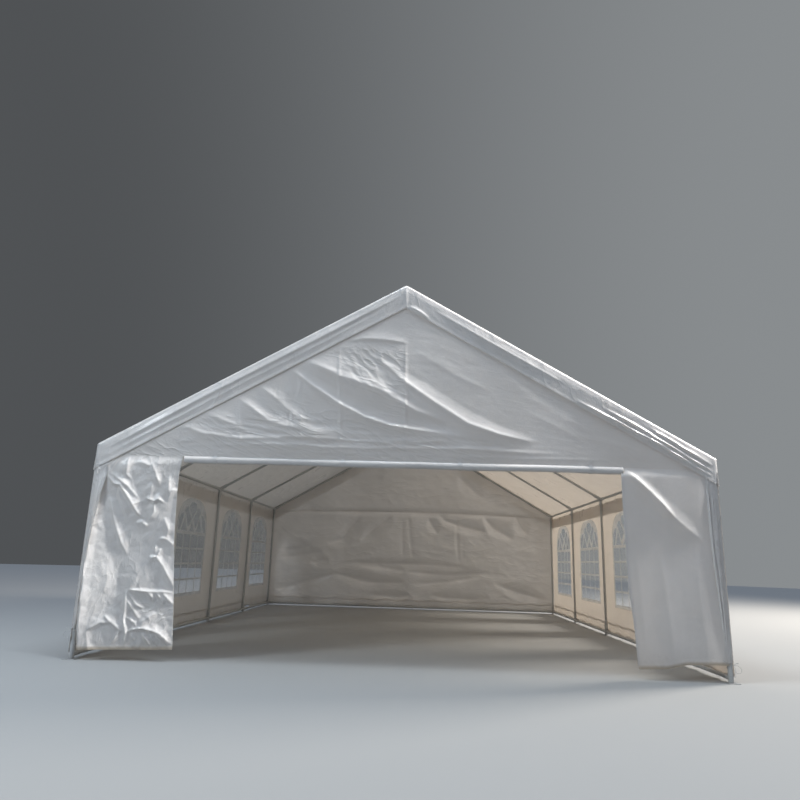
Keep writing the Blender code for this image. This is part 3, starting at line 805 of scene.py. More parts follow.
def flap_hanger(side, folds, wrinkles, foot, edge, roughness):
    """Makes the rule by which one flap hangs."""
    def post_edge(height):
        """Where the flap begins at its post: the left one is drawn in by its folds."""
        return -follow(FLAP_OUTER, height) if side < 0 else HALF_WIDTH - 0.015

    def hang(across, up):
        """Where a point goes, from its share across, 0 at the post and 1 at the doorway, and its share up."""
        outer = post_edge(up * FLAP_TOP)
        for _ in range(2):
            height = follow(foot, outer) + (FLAP_TOP - follow(foot, outer)) * up
            outer = post_edge(height)
        place = outer + (follow(edge, height) - outer) * across
        height = follow(foot, place) + (FLAP_TOP - follow(foot, place)) * up
        place = outer + (follow(edge, height) - outer) * across
        free = (ramp(across, 0.0, 0.2) * 0.8 + 0.2 if side > 0 else 1.0) * (1 - ramp(up, 0.95, 1.0))
        lift = rise(place, height, folds) + crumpled(place, height, wrinkles)
        patches = facets(place, 0.7 * height, 0.34, side * 4)
        lift += roughness * (patches + 0.45 * facets(place, height, 0.13, 9))
        lift += 0.02 * (0.5 + drift(place * 1.2, height * 0.9, side * 8))
        hemmed = 1 - ramp(height - follow(foot, place), FLAP_HEM, FLAP_HEM + 0.006)
        swung = FLAP_SWING * across * (1 - up)
        return on_side("front", place, height, GABLE_OUT + free * max(lift, 0) + HEM_STEP * hemmed - swung)
    return hang


def flat_flap(side, rule):
    """Makes the same rule for a place in flat metres. The doorway is on the right flap's left."""
    def hang(across, up):
        """Where a point of the flap goes."""
        share = across / FLAP_WIDTH
        return rule(share if side < 0 else 1 - share, up / FLAP_HEIGHT)
    return hang


def flap_creasing(most):
    """Makes the rule of how finely a flap is creased."""
    def creasing(across, up):
        """The creasing at a spot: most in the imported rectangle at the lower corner, and near the top."""
        packed = ramp(across, 0.4, 0.5) * (1 - ramp(up, 0.45, 0.5))
        return most * (0.45 + 0.5 * packed + 0.3 * ramp(up, 1.2, 1.6))
    return creasing


flap_tarp = tarpaulin("flap_tarp", crumple=0.0035, creasing=11.0, slant=60, stretch=1.6, hem_soil=0.75)
flap_rules = {}
for side_name, side, folds, wrinkles, foot, edge, grid, roughness, creasing in (
    ("left", -1, LEFT_FOLDS, LEFT_WRINKLES, FLAP_FOOT_LEFT, FLAP_EDGE_LEFT, FLAP_FINE, 0.015, 1.0),
    ("right", 1, RIGHT_FOLDS, [], FLAP_FOOT_RIGHT, FLAP_EDGE_RIGHT, FLAP_COARSE, 0.0, 0.12),
):
    rule = flap_hanger(side, folds, wrinkles, foot, edge, roughness)
    flap_rules[side_name] = rule
    flap_cloth = cut_cloth(even(0, FLAP_WIDTH, grid), even(0, FLAP_HEIGHT, grid))
    flap_cloth = hang_cloth(flap_cloth, flat_flap(side, rule), creased=flap_creasing(creasing))
    flap = finished(f"flap_{side_name}", flap_cloth, flap_tarp, "wall_tarpaulin", f"front_flap_{side_name}")


# Corner strips. The end of each side wall is turned round its corner post and lies on the flap. On the left
# its lower part has come away from the flap, and lashings close the gap.
STRIP_OUT = 0.0301
STRIP_FRONT = 0.1
STRIP_SIDE = 0.12
STRIP_TOP = 1.87
STRIP_STAND = 0.05
STRIP_GRID = 0.016
STRIP_FEET = {-1: 0.27, 1: 0.17}
STRIP_LEFT = ((0.0, 3.02), (0.23, 3.0), (0.4, 2.97), (0.66, 2.965), (0.89, 2.955), (1.19, 2.935),
              (1.45, 2.905), (1.71, 2.885), (1.95, 2.88))
STRIP_RIGHT = ((0.0, 2.985), (0.18, 2.975), (0.26, 2.96), (0.52, 2.945), (1.16, 2.905), (1.47, 2.90),
               (1.95, 2.90))
STRIP_BEND = STRIP_OUT * math.pi / 2
STRIP_FOLDS = [
    crease(0.014, 0.008, 0.012, (0.045, 1.85), (0.05, 1.4), (0.045, 0.9), (0.05, 0.2)),
    crease(0.016, 0.010, 0.008, (0.085, 1.86), (0.08, 1.3), (0.085, 0.9), (0.08, 0.3)),
    crease(0.010, 0.008, 0.010, (0.02, 1.75), (0.025, 1.1), (0.02, 0.5)),
]


def strip_hanger(side, edge):
    """Makes the rule for a strip round a corner post."""
    def hang(across, up):
        """Where a point of the strip goes: across is below 0 on the front, and above 0 round the corner."""
        if across <= 0:
            inner = HALF_WIDTH - follow(edge, up)
            reach = -across / STRIP_FRONT
            lift = rise(reach * STRIP_FRONT, up, STRIP_FOLDS) + 0.005 * crinkle(3, across * 20, up * 3, 1)
            if side < 0:
                lift += STRIP_STAND * reach * (1 - ramp(up, 1.5, 1.76)) * ramp(inner, 0.0, 0.06)
            out = STRIP_OUT + lift * ramp(reach, 0, 0.2)
            return on_side("front", side * (HALF_WIDTH - inner * reach), up, out)
        turned = min(across / STRIP_BEND, 1.0) * math.pi / 2
        behind = max(across - STRIP_BEND, 0.0)
        return Vector((side * (HALF_WIDTH + STRIP_OUT * math.sin(turned)),
                       -HALF_LENGTH - STRIP_OUT * math.cos(turned) + behind, up))
    return hang


def from_behind(rule):
    """The same rule for a sheet whose columns run the other way."""
    def hang(across, up):
        """Where a point of the turned sheet goes."""
        return rule(-across, up)
    return hang


strip_reach = STRIP_BEND + STRIP_SIDE
for side_name, side, edge in (("left", -1, STRIP_LEFT), ("right", 1, STRIP_RIGHT)):
    rule = strip_hanger(side, edge)
    columns = even(-STRIP_FRONT, 0, WRAP_GRID) + even(0, STRIP_BEND, BEND_GRID)[1:]
    columns += even(STRIP_BEND, strip_reach, 0.02)[1:]
    if side < 0:
        rule = from_behind(rule)
        columns = [-column for column in reversed(columns)]
    strip_cloth = hang_cloth(cut_cloth(columns, even(STRIP_FEET[side], STRIP_TOP, STRIP_GRID)), rule)
    strip = finished(f"corner_strip_{side_name}", strip_cloth, flap_tarp, "wall_tarpaulin",
                     f"{side_name}_wall")


def light_only(light, name, *pieces):
    """Lets a light fall on the named pieces alone. Returns the collection that holds them."""
    lit = bpy.data.collections.new(name)
    for piece in pieces:
        lit.objects.link(bpy.data.objects[piece])
    light.light_linking.receiver_collection = lit
    return lit


# The light that rakes over the front is kept off all the rest, so that it shows the creases and no more
raked = light_only(raking_sun, "raked_front", "front_valance", "gable_sheet", "flap_left", "flap_right")
flap_sun = soft_light("flap_sun", (15, -4.8, 9), aim=(-2.6, -4.05, 0.9), size=(1.2, 1.2), watts=5500,
                      colour=SUNLIGHT)
light_only(flap_sun, "sunlit_flap", "flap_left")


# Rear wall. One sheet closes the back from the ridge to the ground. It hangs with wide soft folds, and
# carries a welded seam at eave height.
REAR_GRID = 0.028
REAR_DEPTH = 1.3
REAR_SKIRT = 0.03
TIE_PITCH = 0.5
wall_tarp = tarpaulin("wall_tarp", crumple=0.0016, creasing=5.0, stretch=2.2)
WALL_FOOT = 0.03
REAR_FOLDS = [
    crease(0.020, 0.03, 0.04, (-2.9, 1.9), (-2.35, 2.0), (-1.05, 2.01), (0.39, 2.03), (1.25, 2.02),
           (2.1, 1.99), (2.9, 1.95)),
    crease(0.027, 0.08, 0.05, (-1.1, 1.9), (-1.35, 1.61), (-1.49, 1.42), (-1.8, 1.3)),
    crease(0.024, 0.08, 0.05, (-0.4, 1.94), (-0.81, 1.63), (-1.1, 1.36)),
    crease(0.027, 0.07, 0.09, (-2.85, 1.09), (-2.51, 1.19), (-2.15, 1.25)),
    crease(0.024, 0.06, 0.08, (-2.8, 0.97), (-2.29, 1.06), (-1.9, 1.13)),
    crease(0.017, 0.05, 0.06, (-2.15, 0.89), (-1.75, 0.96)),
    crease(0.031, 0.08, 0.1, (-2.9, 0.3), (-2.46, 0.42), (-2.0, 0.56), (-1.55, 0.69)),
    crease(0.020, 0.04, 0.05, (-1.5, 0.9), (-1.0, 0.92), (-0.36, 0.92), (0.19, 0.93), (0.51, 0.92),
           (1.2, 0.88)),
    crease(0.017, 0.05, 0.05, (-1.1, 0.87), (-0.74, 0.9), (-0.57, 0.83), (-0.1, 0.77)),
    crease(0.024, 0.07, 0.07, (-1.65, 0.69), (-1.2, 0.6), (-0.77, 0.53), (-0.1, 0.53)),
    crease(0.017, 0.05, 0.05, (-0.85, 0.28), (-0.44, 0.23), (0.0, 0.27)),
    crease(0.006, 0.03, 0.02, (-0.07, 1.97), (-0.02, 1.44), (0.05, 0.95)),
    crease(0.004, 0.02, 0.03, (-0.2, 1.9), (-0.18, 1.4), (-0.15, 1.0)),
    crease(0.006, 0.03, 0.02, (0.98, 2.0), (0.99, 1.47), (1.03, 0.95)),
    crease(0.003, 0.02, 0.02, (1.1, 1.6), (1.12, 1.0)),
    crease(0.027, 0.08, 0.06, (1.55, 1.95), (1.8, 1.72), (2.2, 1.5)),
    crease(0.024, 0.07, 0.06, (0.55, 1.98), (0.78, 1.84), (1.25, 1.71), (1.65, 1.62)),
    crease(0.020, 0.06, 0.06, (2.25, 1.98), (2.5, 1.6)),
    crease(0.017, 0.05, 0.05, (0.37, 1.9), (0.57, 1.57)),
    crease(0.017, 0.08, 0.08, (1.0, 2.85), (1.29, 2.58), (1.55, 2.36)),
    crease(0.020, 0.06, 0.06, (-0.1, 0.77), (0.62, 0.72), (1.7, 0.77)),
    crease(0.020, 0.06, 0.06, (0.05, 0.51), (0.83, 0.58), (1.5, 0.7)),
    crease(0.017, 0.05, 0.05, (0.4, 0.3), (1.05, 0.21), (1.7, 0.25)),
    crease(0.020, 0.06, 0.06, (1.8, 0.56), (2.39, 0.39), (2.9, 0.26)),
]


def skirt(along, ties, depth):
    """How far a hem stands off between its ties, which lie half a pitch off the middle."""
    return depth * math.cos(math.pi * along / ties) ** 2


def hang_rear(across, up):
    """Where a point of the rear wall goes, seen from behind."""
    inside = -across
    height = up + skirt(across, TIE_PITCH, REAR_SKIRT) * ramp(up, 0.5, 0.0)
    below_rafter = RIDGE - abs(across) * math.tan(PITCH) - up
    free = ramp(below_rafter, 0.05, 0.5) * ramp(up, 0.02, 0.3) * ramp(HALF_WIDTH - abs(across), 0.0, 0.35)
    lift = REAR_DEPTH * rise(inside, up, REAR_FOLDS)
    lift += 0.02 * (0.5 + drift(inside * 0.7, up * 0.9, 31))
    lift += 0.011 * crinkle(4, inside * 1.2, up * 1.6, 9)
    return on_side("rear", across, height, GABLE_OUT + free * max(lift, 0))


rear_sheet = hang_cloth(gable_cloth(WALL_FOOT, gable_edge, REAR_GRID), hang_rear)
rear_wall = finished("rear_sheet", rear_sheet, wall_tarp, "wall_tarpaulin", "rear_wall")

# Warm light from the right rakes over its inner side, and nothing but the wall itself shades it
inner_glow = soft_light("inner_glow", (9, 3.3, 6.5), aim=(-0.3, 4.0, 1.3), size=(1.0, 1.0), watts=750,
                        colour=WARM_LIGHT)
inner_glow.light_linking.blocker_collection = light_only(inner_glow, "glowing_rear", "rear_sheet")


# Side walls. Each is one long sheet, tied to the eave rail above and the ground rail below, with a church
# window let into each bay. The hem is drawn up between its ties.
WALL_GRID = 0.03
WALL_TOP = 1.945
WALL_LENGTH = HALF_LENGTH + EDGE_LAP
FOOT_SKIRT = 0.028
EAVE_SKIRT = 0.016
LIFTED_PLACE = -2.3
LIFTED_REACH = 0.4
LIFTED_HEIGHT = 0.05
window_low, window_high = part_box("window_right_1")
WINDOW_HALF = (window_high.y - window_low.y) / 2
WINDOW_SILL = window_low.z
WINDOW_RISE = 0.4
WINDOW_CURVE = 0.8
WINDOW_SPRING = window_high.z - WINDOW_RISE
WINDOW_MIDDLES = [BAY * (bay + 0.5) - HALF_LENGTH for bay in range(BAYS)]


def church_window(grow, middle=0.0, steps=14):
    """A church window's outline about a middle, grown by an even margin."""
    half, lift = WINDOW_HALF + grow, WINDOW_RISE + grow
    outline = [(middle - half, WINDOW_SILL - grow), (middle + half, WINDOW_SILL - grow)]
    for step in range(steps + 1):
        turn = math.pi * step / steps
        across, up = math.cos(turn), math.sin(turn)
        outline.append((middle + half * math.copysign(abs(across) ** WINDOW_CURVE, across),
                        WINDOW_SPRING + lift * up ** WINDOW_CURVE))
    return outline


def sides_of(outline):
    """Each side of a closed outline, as its two ends."""
    return zip(outline, outline[1:] + outline[:1])


def is_inside(spot, outline, margin):
    """Whether a spot lies inside a convex outline that runs counter-clockwise, or within a margin of it."""
    for first, last in sides_of(outline):
        way = Vector(last) - Vector(first)
        if way.cross(spot.xy - Vector(first)) < -margin * way.length:
            return False
    return True


def cut_opening(cloth, outline):
    """Cuts a convex opening out of a flat sheet, edge by edge."""
    inside = cloth.faces[:]
    for first, last in sides_of(outline):
        way = Vector(last) - Vector(first)
        geometry = set(inside)
        for face in inside:
            geometry.update(face.edges, face.verts)
        bmesh.ops.bisect_plane(cloth, geom=list(geometry), plane_co=(*first, 0), plane_no=(way.y, -way.x, 0),
                               dist=0.0001)
        inside = [face for face in cloth.faces if is_inside(face.calc_center_median(), outline, 0.03)]
    opening = [face for face in cloth.faces if is_inside(face.calc_center_median(), outline, 0)]
    bmesh.ops.delete(cloth, geom=opening, context="FACES")


def wall_bulge(side, along, up):
    """How far a side wall stands out from its plane at a spot."""
    share = (along + HALF_LENGTH) / BAY
    free = abs(math.sin(math.pi * share)) ** 1.2 * ramp(up, 0.05, 0.5) * (1 - ramp(up, 1.55, 1.9))
    seed = 40 if side == "left" else 50
    lift = 0.018 + 0.02 * drift(along * 0.8, up * 0.8, seed)
    lift += 0.012 * crinkle(2, along * 1.6, up * 1.3, seed + 1)
    lift += 0.004 * drift(along * 4, up * 0.8, seed + 2)
    return free * max(lift, 0)


def side_hanger(side):
    """Makes the rule by which a side wall hangs."""
    def hang(along, up):
        """Where a point of the side wall goes."""
        height = up + skirt(along, TIE_PITCH, FOOT_SKIRT) * ramp(up, 0.36, 0.02)
        height -= skirt(along, TIE_PITCH, EAVE_SKIRT) * ramp(up, WALL_TOP - 0.12, WALL_TOP)
        if side == "left":
            lifted = max(0, 1 - abs(along - LIFTED_PLACE) / LIFTED_REACH)
            height += LIFTED_HEIGHT * lifted * ramp(up, 0.3, 0.0)
        return on_side(side, along, height, GABLE_OUT + wall_bulge(side, along, up))
    return hang


wall_rules = {"left": side_hanger("left"), "right": side_hanger("right"), "rear": hang_rear}
for side in ("left", "right"):
    wall_cloth = cut_cloth(even(-WALL_LENGTH, WALL_LENGTH, WALL_GRID), even(WALL_FOOT, WALL_TOP, WALL_GRID))
    for middle in WINDOW_MIDDLES:
        cut_opening(wall_cloth, church_window(0, middle))
    wall = finished(f"{side}_sheet", hang_cloth(wall_cloth, wall_rules[side]), wall_tarp, "wall_tarpaulin",
                    f"{side}_wall")


# Hems and seams of the walls. A band is folded up along each wall's foot, where the ties pull on it. A weld
# runs a hand's width above it, and another closes the rear wall at eave height. All lie on the inside.
BAND_CLOTH = 0.001
BAND_WIDTH = 0.024
BAND_GAP = 0.0002
BAND_GRID = 0.028
FOOT_SEAM = 0.148
EAVE_SEAM = 1.9
SEAM_RISE = 0.115


def layer(hang, gap):
    """The same rule, for a layer that lies further in by the gap, or further out where it is below 0."""
    def hang_layer(along, up):
        """Where a point of the other layer goes."""
        place = hang(along, up)
        along_way = hang(along + 0.001, up) - place
        up_way = hang(along, up + 0.001) - place
        return place - along_way.cross(up_way).normalized() * gap
    return hang_layer


def weld_band(name, rule, reach, low, node):
    """Adds a narrow band along the inside of a wall."""
    band = cut_cloth(even(-reach, reach, BAND_GRID), even(low, low + BAND_WIDTH, BAND_WIDTH / 2))
    band = hang_cloth(band, layer(rule, CLOTH + BAND_GAP), BAND_CLOTH)
    piece = finished(name, band, wall_tarp, "wall_tarpaulin", node)


for side, rule in wall_rules.items():
    reach = gable_edge if side == "rear" else WALL_LENGTH
    weld_band(f"{side}_hem", rule, reach, WALL_FOOT + 0.001, f"{side}_wall")
    weld_band(f"{side}_seam", rule, reach, FOOT_SEAM, f"{side}_wall")


def hang_eave_seam(across, up):
    """Where the rear wall's upper seam goes: it rises in a long arch from one corner to the other."""
    share = min(abs(across) / HALF_WIDTH, 1.0)
    return hang_rear(across, EAVE_SEAM + SEAM_RISE * math.sqrt(1 - share * share) + up)


weld_band("rear_eave_seam", hang_eave_seam, HALF_WIDTH - 0.03, 0.0, "rear_wall")


# Church windows. Clear soft film is welded behind each opening. White glazing bars are printed on it: four
# rows of four panes, with two pointed lights and a drop between them in the arch.
FILM = 0.0005
FILM_LAP = 0.018
FILM_GAP = 0.0016
FILM_GRID = 0.04
FILM_COLOUR = (0.80, 0.85, 0.88)
PRINT = 0.0003
PRINT_GAP = 0.0005
PRINT_WHITE = (0.86, 0.86, 0.86)
PRINT_WORN = (0.72, 0.73, 0.74)
PRINT_GLOW = (0.85, 0.83, 0.8)
PRINT_GRID = 0.045
BAR = 0.026
PANE_COLUMNS = (-0.57, -0.3, 0.0, 0.3, 0.57)
PANE_ROWS = (0.46, 0.64, 0.85, 1.055, 1.26)
ARCH_PANES = [
    ((-0.45, 1.29), (-0.17, 1.29), (-0.21, 1.33), (-0.26, 1.40), (-0.31, 1.51), (-0.36, 1.40), (-0.41, 1.33)),
    ((-0.12, 1.29), (0.12, 1.29), (0.08, 1.32), (0.03, 1.38), (0.0, 1.44), (-0.03, 1.38), (-0.08, 1.32)),
    ((0.0, 1.47), (0.06, 1.53), (0.14, 1.585), (0.155, 1.64), (0.11, 1.685), (0.0, 1.70), (-0.11, 1.685),
     (-0.155, 1.64), (-0.14, 1.585), (-0.06, 1.53)),
    ((-0.565, 1.29), (-0.49, 1.29), (-0.44, 1.36), (-0.39, 1.45), (-0.36, 1.54), (-0.46, 1.52),
     (-0.55, 1.44)),
    ((-0.33, 1.56), (-0.28, 1.50), (-0.22, 1.41), (-0.16, 1.34), (-0.10, 1.40), (-0.04, 1.46), (-0.10, 1.52),
     (-0.18, 1.58), (-0.2, 1.63), (-0.28, 1.62)),
]


def film_material():
    """Clear soft vinyl, a little cloudy and creased from packing."""
    film, tree, shader = new_finish("window_film")
    flat = add_node(tree, "ShaderNodeUVMap", uv_map="flat").outputs[0]
    cloud = speckle(tree, flat, scale=6, detail=5)
    ripple = place_group(tree, crease_lines, {"Flat": flat, "Scale": 7})
    feed(shader, {"Base Color": (*FILM_COLOUR, 1), "Roughness": 0.12,
                  "Alpha": spread(tree, cloud, 0.35, 0.7, start=0.14, end=0.26),
                  "Normal": bump(tree, ripple, strength=0.7, distance=0.002)})
    return film


def print_material():
    """White ink on the film, matt and slightly mottled."""
    ink, tree, shader = new_finish("window_print")
    flat = add_node(tree, "ShaderNodeUVMap", uv_map="flat").outputs[0]
    mottle = speckle(tree, flat, scale=90, detail=4)
    feed(shader, {"Base Color": mix_colours(tree, mottle, PRINT_WHITE, PRINT_WORN), "Roughness": 0.55})
    shine_through(tree, shader, 0.4, {"Color": (*PRINT_GLOW, 1)})
    return ink


def spaced(loop, pitch):
    """A closed outline with points added along its edges."""
    points = []
    for first, last in sides_of(loop):
        way = Vector(last) - Vector(first)
        count = max(1, round(way.length / pitch))
        points += [Vector(first) + way * (step / count) for step in range(count)]
    return points


def print_sheet(middle):
    """The printed bars as a flat sheet: the window's outline with its panes left open."""
    panes = [list(pane) for pane in ARCH_PANES]
    panes += [[(-across, up) for across, up in reversed(pane)] for pane in (ARCH_PANES[0], *ARCH_PANES[3:])]
    for low, high in zip(PANE_ROWS, PANE_ROWS[1:]):
        for left, right in zip(PANE_COLUMNS, PANE_COLUMNS[1:]):
            west = left if left == PANE_COLUMNS[0] else left + BAR / 2
            east = right if right == PANE_COLUMNS[-1] else right - BAR / 2
            south, north = (low if low == PANE_ROWS[0] else low + BAR / 2), high - BAR / 2
            panes.append([(west, south), (east, south), (east, north), (west, north)])
    sheet = bmesh.new()
    edges = []
    for loop in [church_window(-0.002)] + panes:
        corners = [sheet.verts.new((middle + point.x, point.y, 0)) for point in spaced(loop, PRINT_GRID)]
        edges += [sheet.edges.new(pair) for pair in sides_of(corners)]
    bmesh.ops.triangle_fill(sheet, use_beauty=True, edges=edges, normal=(0, 0, 1))
    return sheet


def film_sheet(middle):
    """The film as a flat sheet, cut to the window's outline and its lap."""
    half = WINDOW_HALF + FILM_GRID
    sheet = cut_cloth(even(middle - half, middle + half, FILM_GRID),
                      even(WINDOW_SILL - FILM_GRID, window_high.z + FILM_GRID, FILM_GRID))
    for first, last in sides_of(church_window(FILM_LAP, middle)):
        trim(sheet, (*first, 0), (last[1] - first[1], first[0] - last[0], 0))
    return sheet


clear_film = film_material()
white_ink = print_material()
for side in ("left", "right"):
    film_rule = layer(wall_rules[side], CLOTH + FILM_GAP)
    print_rule = layer(wall_rules[side], CLOTH + PRINT_GAP)
    for bay, middle in enumerate(WINDOW_MIDDLES, 1):
        number = bay if side == "right" else BAYS + 1 - bay
        film = finished(f"window_film_{side}_{number}", hang_cloth(film_sheet(middle), film_rule, FILM),
                        clear_film, "window_film", f"window_{side}_{number}")
        bars = finished(f"window_bars_{side}_{number}", hang_cloth(print_sheet(middle), print_rule, PRINT),
                        white_ink, "wall_tarpaulin", f"window_{side}_{number}")


# Rolled door. The doorway's own sheet is rolled up from its foot, and the roll is kept under the gable's
# lower edge. The ties pinch it, and it swells between them.
roll_low, roll_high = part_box("door_roll")
ROLL_CENTRE = Vector((0, (roll_low.y + roll_high.y) / 2, (roll_low.z + roll_high.z) / 2))
ROLL_REACH = roll_high.x
ROLL_RADIUS = 0.0345
ROLL_CORE = 0.004
ROLL_PITCH = 0.0024
ROLL_CLOTH = 0.0013
ROLL_STEP = math.radians(15)
ROLL_START = math.radians(19)
ROLL_STEPS = int((ROLL_RADIUS - ROLL_CORE) / ROLL_PITCH * 2 * math.pi / ROLL_STEP)
ROLL_STRIDE = 0.0058
ROLL_GRID = 0.055
tie_places = [sum(corner.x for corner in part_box(f"roll_tie_{tie}")) / 2 for tie in range(1, 5)]


def roll_girth(across, turned):
    """How much the roll's radius differs from its normal one at a place along it."""
    pinch = sum(math.exp(-(((across - tie) / 0.03) ** 2)) for tie in tie_places)
    beside = sum(math.exp(-(((abs(across - tie) - 0.06) / 0.035) ** 2)) for tie in tie_places)
    lumps = drift(across * 3.5, turned * 0.4, 60) * 0.05
    lumps += drift(across * 11, turned * 0.25, 62) * 0.02
    return 1 + lumps - 0.10 * pinch + 0.035 * beside


def hang_roll(across, up):
    """Where a point of the rolled door goes. Up counts strides from the roll's core to the gable."""
    turned = (ROLL_STEPS - up / ROLL_STRIDE) * ROLL_STEP
    radius = ROLL_RADIUS - ROLL_PITCH * turned / (2 * math.pi)
    radius = radius * roll_girth(across, turned) + 0.0042 * math.exp(-turned / 0.45)
    way = ROLL_START + turned
    flattened = 1 + 0.05 * math.cos(2 * way + 1.2 * drift(across * 1.5, 0, 61)) * ramp(turned, 0, 1)
    sag = 0.003 * math.sin(across * 4.9 + 1) * ramp(turned, 0, 2)
    place = Vector((across, -radius * math.sin(way) * flattened, radius * math.cos(way) / flattened + sag))
    return ROLL_CENTRE + place


roll_rows = even(0, ROLL_STEPS * ROLL_STRIDE, ROLL_STRIDE)
roll_cloth = hang_cloth(cut_cloth(even(-ROLL_REACH, ROLL_REACH, ROLL_GRID), roll_rows), hang_roll, ROLL_CLOTH)
roll = finished("door_sheet", roll_cloth, wall_tarp, "wall_tarpaulin", "door_roll")
raked.objects.link(roll)


# Roll ties. Four straps of white woven webbing hold the rolled door. Each is sewn to the gable outside,
# passes under the roll and comes up inside.
STRAP_WIDTH = 0.03
STRAP = 0.0012
STRAP_RADIUS = 0.0372
STRAP_STEP = 0.02
STRAP_FRONT = (1.962, 1.945, 1.93, 1.918)
STRAP_BACK = (1.918, 1.93, 1.945)
webbing = tarpaulin("webbing", crumple=0.0006, creasing=18.0, soil_reach=0.01)


def strap_path(place):
    """The strap's way round the roll, as points from outside over the bottom to inside."""
    front = [hang_gable(place, up) - Vector((0, 0.0022, 0)) for up in STRAP_FRONT]
    middle = ROLL_CENTRE + Vector((place, 0, 0))
    round_it = [middle + Vector((0, -math.sin(turn), math.cos(turn))) * STRAP_RADIUS
                for turn in even(math.radians(38), math.radians(330), math.radians(14))]
    back = [hang_gable(place, up) + Vector((0, CLOTH + 0.001, 0)) for up in STRAP_BACK]
    return [point.yz for point in front + round_it + back]


def strap_hanger(path):
    """Makes the rule by which a strap follows its path. Up counts down from 0, a step for each point."""
    def hang(across, up):
        """Where a point of the strap goes."""
        return Vector((across, *path[round(-up / STRAP_STEP)]))
    return hang


for number, place in enumerate(tie_places, 1):
    path = strap_path(place)
    strap_rows = [-STRAP_STEP * step for step in reversed(range(len(path)))]
    strap_cloth = cut_cloth(even(place - STRAP_WIDTH / 2, place + STRAP_WIDTH / 2, 0.01), strap_rows)
    strap = finished(f"roll_strap_{number}", hang_cloth(strap_cloth, strap_hanger(path), STRAP), webbing,
                     "webbing", f"roll_tie_{number}")


# Elastic ties. White elastic loops run through eyelets in the walls and round the rails: along the eaves,
# and from the hems to the three ground rails, every half metre.
LOOP_CORD = 0.0024
TIE_PLACES = even(-3.75, 3.75, TIE_PITCH)
REAR_TIE_PLACES = even(-2.75, 2.75, TIE_PITCH)
TIE_INSET = 0.025
CORD_WHITE = (0.80, 0.80, 0.79)
# Grey painted as shade between the cord's strands
CORD_PAINTED_SHADE = (0.52, 0.52, 0.51)


def braided(name):
    """White braided cord: fine strands that cross, with painted shade between them, soiled a little near the
    ground.
    """
    braid, tree, shader = new_finish(name)
    place = add_node(tree, "ShaderNodeTexCoord").outputs["Object"]
    strands = add_node(tree, "ShaderNodeTexVoronoi", {"Vector": place, "Scale": 900}).outputs["Distance"]
    soil = place_group(tree, splash, {"Place": place, "Reach": 0.4, "Amount": 2.0})
    # Painted shade: the cord is darker between its strands
    cord = mix_colours(tree, strands, CORD_WHITE, CORD_PAINTED_SHADE)
    feed(shader, {"Base Color": mix_colours(tree, soil, cord, EARTH), "Roughness": 0.8,
                  "Normal": bump(tree, strands, strength=0.6, distance=0.0005)})
    return braid


def pattern_of(shape):
    """Turns a small shape into a mesh that is copied many times."""
    pattern = bpy.data.meshes.new("pattern")
    shape.to_mesh(pattern)
    shape.free()
    return pattern


def add_at(shape, pattern, place):
    """Adds a copy of a small mesh to a shape, moved by a matrix."""
    pattern.transform(place)
    shape.from_mesh(pattern)
    pattern.transform(place.inverted())


def ring(radius, thickness, sides, steps):
    """A ring of round section about the Z axis."""
    shape = bmesh.new()
    upright = Matrix.Translation((radius, 0, 0)) @ Matrix.Rotation(math.pi / 2, 4, "X")
    bmesh.ops.create_circle(shape, segments=sides, radius=thickness / 2, matrix=upright)
    bmesh.ops.spin(shape, geom=shape.verts[:] + shape.edges[:], cent=(0, 0, 0), axis=(0, 0, 1),
                   angle=2 * math.pi, steps=steps, use_merge=True)
    bmesh.ops.recalc_face_normals(shape, faces=shape.faces[:])
    return shape


def tie_loop(width, height, lean):
    """A closed oval loop of cord, upright across a rail, that leans out towards its foot."""
    shape = ring(1, LOOP_CORD, 5, 16)
    for point in shape.verts:
        turn = math.atan2(point.co.y, point.co.x)
        off = math.hypot(point.co.x, point.co.y) - 1
        across, up = math.sin(turn), math.cos(turn)
        oval_x = width * math.copysign(abs(across) ** 0.7, across)
        oval_z = height * math.copysign(abs(up) ** 0.7, up)
        point.co = oval_x + across * off + lean * (1 - up) / 2, point.co.z, oval_z + up * off
    return pattern_of(shape)


cord_finish = braided("elastic_cord")
rail_low, rail_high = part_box("ground_rail_rear")
rail_height = (rail_low.z + rail_high.z) / 2
loops = bmesh.new()
for side in (-1, 1):
    eave_loop, foot_loop = tie_loop(0.0208, 0.047, side * 0.0262), tie_loop(0.0275, 0.0262, side * 0.002)
    for place in TIE_PLACES:
        add_at(loops, eave_loop, Matrix.Translation((side * HALF_WIDTH, place, EAVE - 0.026)))
        add_at(loops, foot_loop, Matrix.Translation((side * HALF_WIDTH, place, rail_height)))
for place in REAR_TIE_PLACES:
    spot = Matrix.Translation((place, (rail_low.y + rail_high.y) / 2, rail_height))
    add_at(loops, foot_loop, spot @ Matrix.Rotation(math.pi / 2, 4, "Z"))
finished("elastic_ties", loops, cord_finish, "webbing")


# Eyelets. Rolled rings of zinc plated steel, gone dull in patches. They are pressed through the cloth where
# a tie or a lace goes through it.
EYELET_RADIUS = 0.0085
EYELET_ROLL = 0.0046
EYELET_FLATNESS = 0.8
LACE_PITCH = 0.1
LACE_INSET = 0.07
ZINC = (0.58, 0.59, 0.60)
ZINC_DULL = (0.36, 0.36, 0.35)


def zinc_plate(name):
    """Zinc plated steel that has gone dull in patches."""
    zinc, tree, shader = new_finish(name)
    place = add_node(tree, "ShaderNodeTexCoord").outputs["Object"]
    dull = speckle(tree, place, scale=260, detail=5)
    feed(shader, {"Base Color": mix_colours(tree, dull, ZINC, ZINC_DULL), "Metallic": 0.9,
                  "Roughness": spread(tree, dull, 0.3, 0.7, start=0.3, end=0.55),
                  "Normal": bump(tree, dull, strength=0.3, distance=0.0003)})
    return zinc


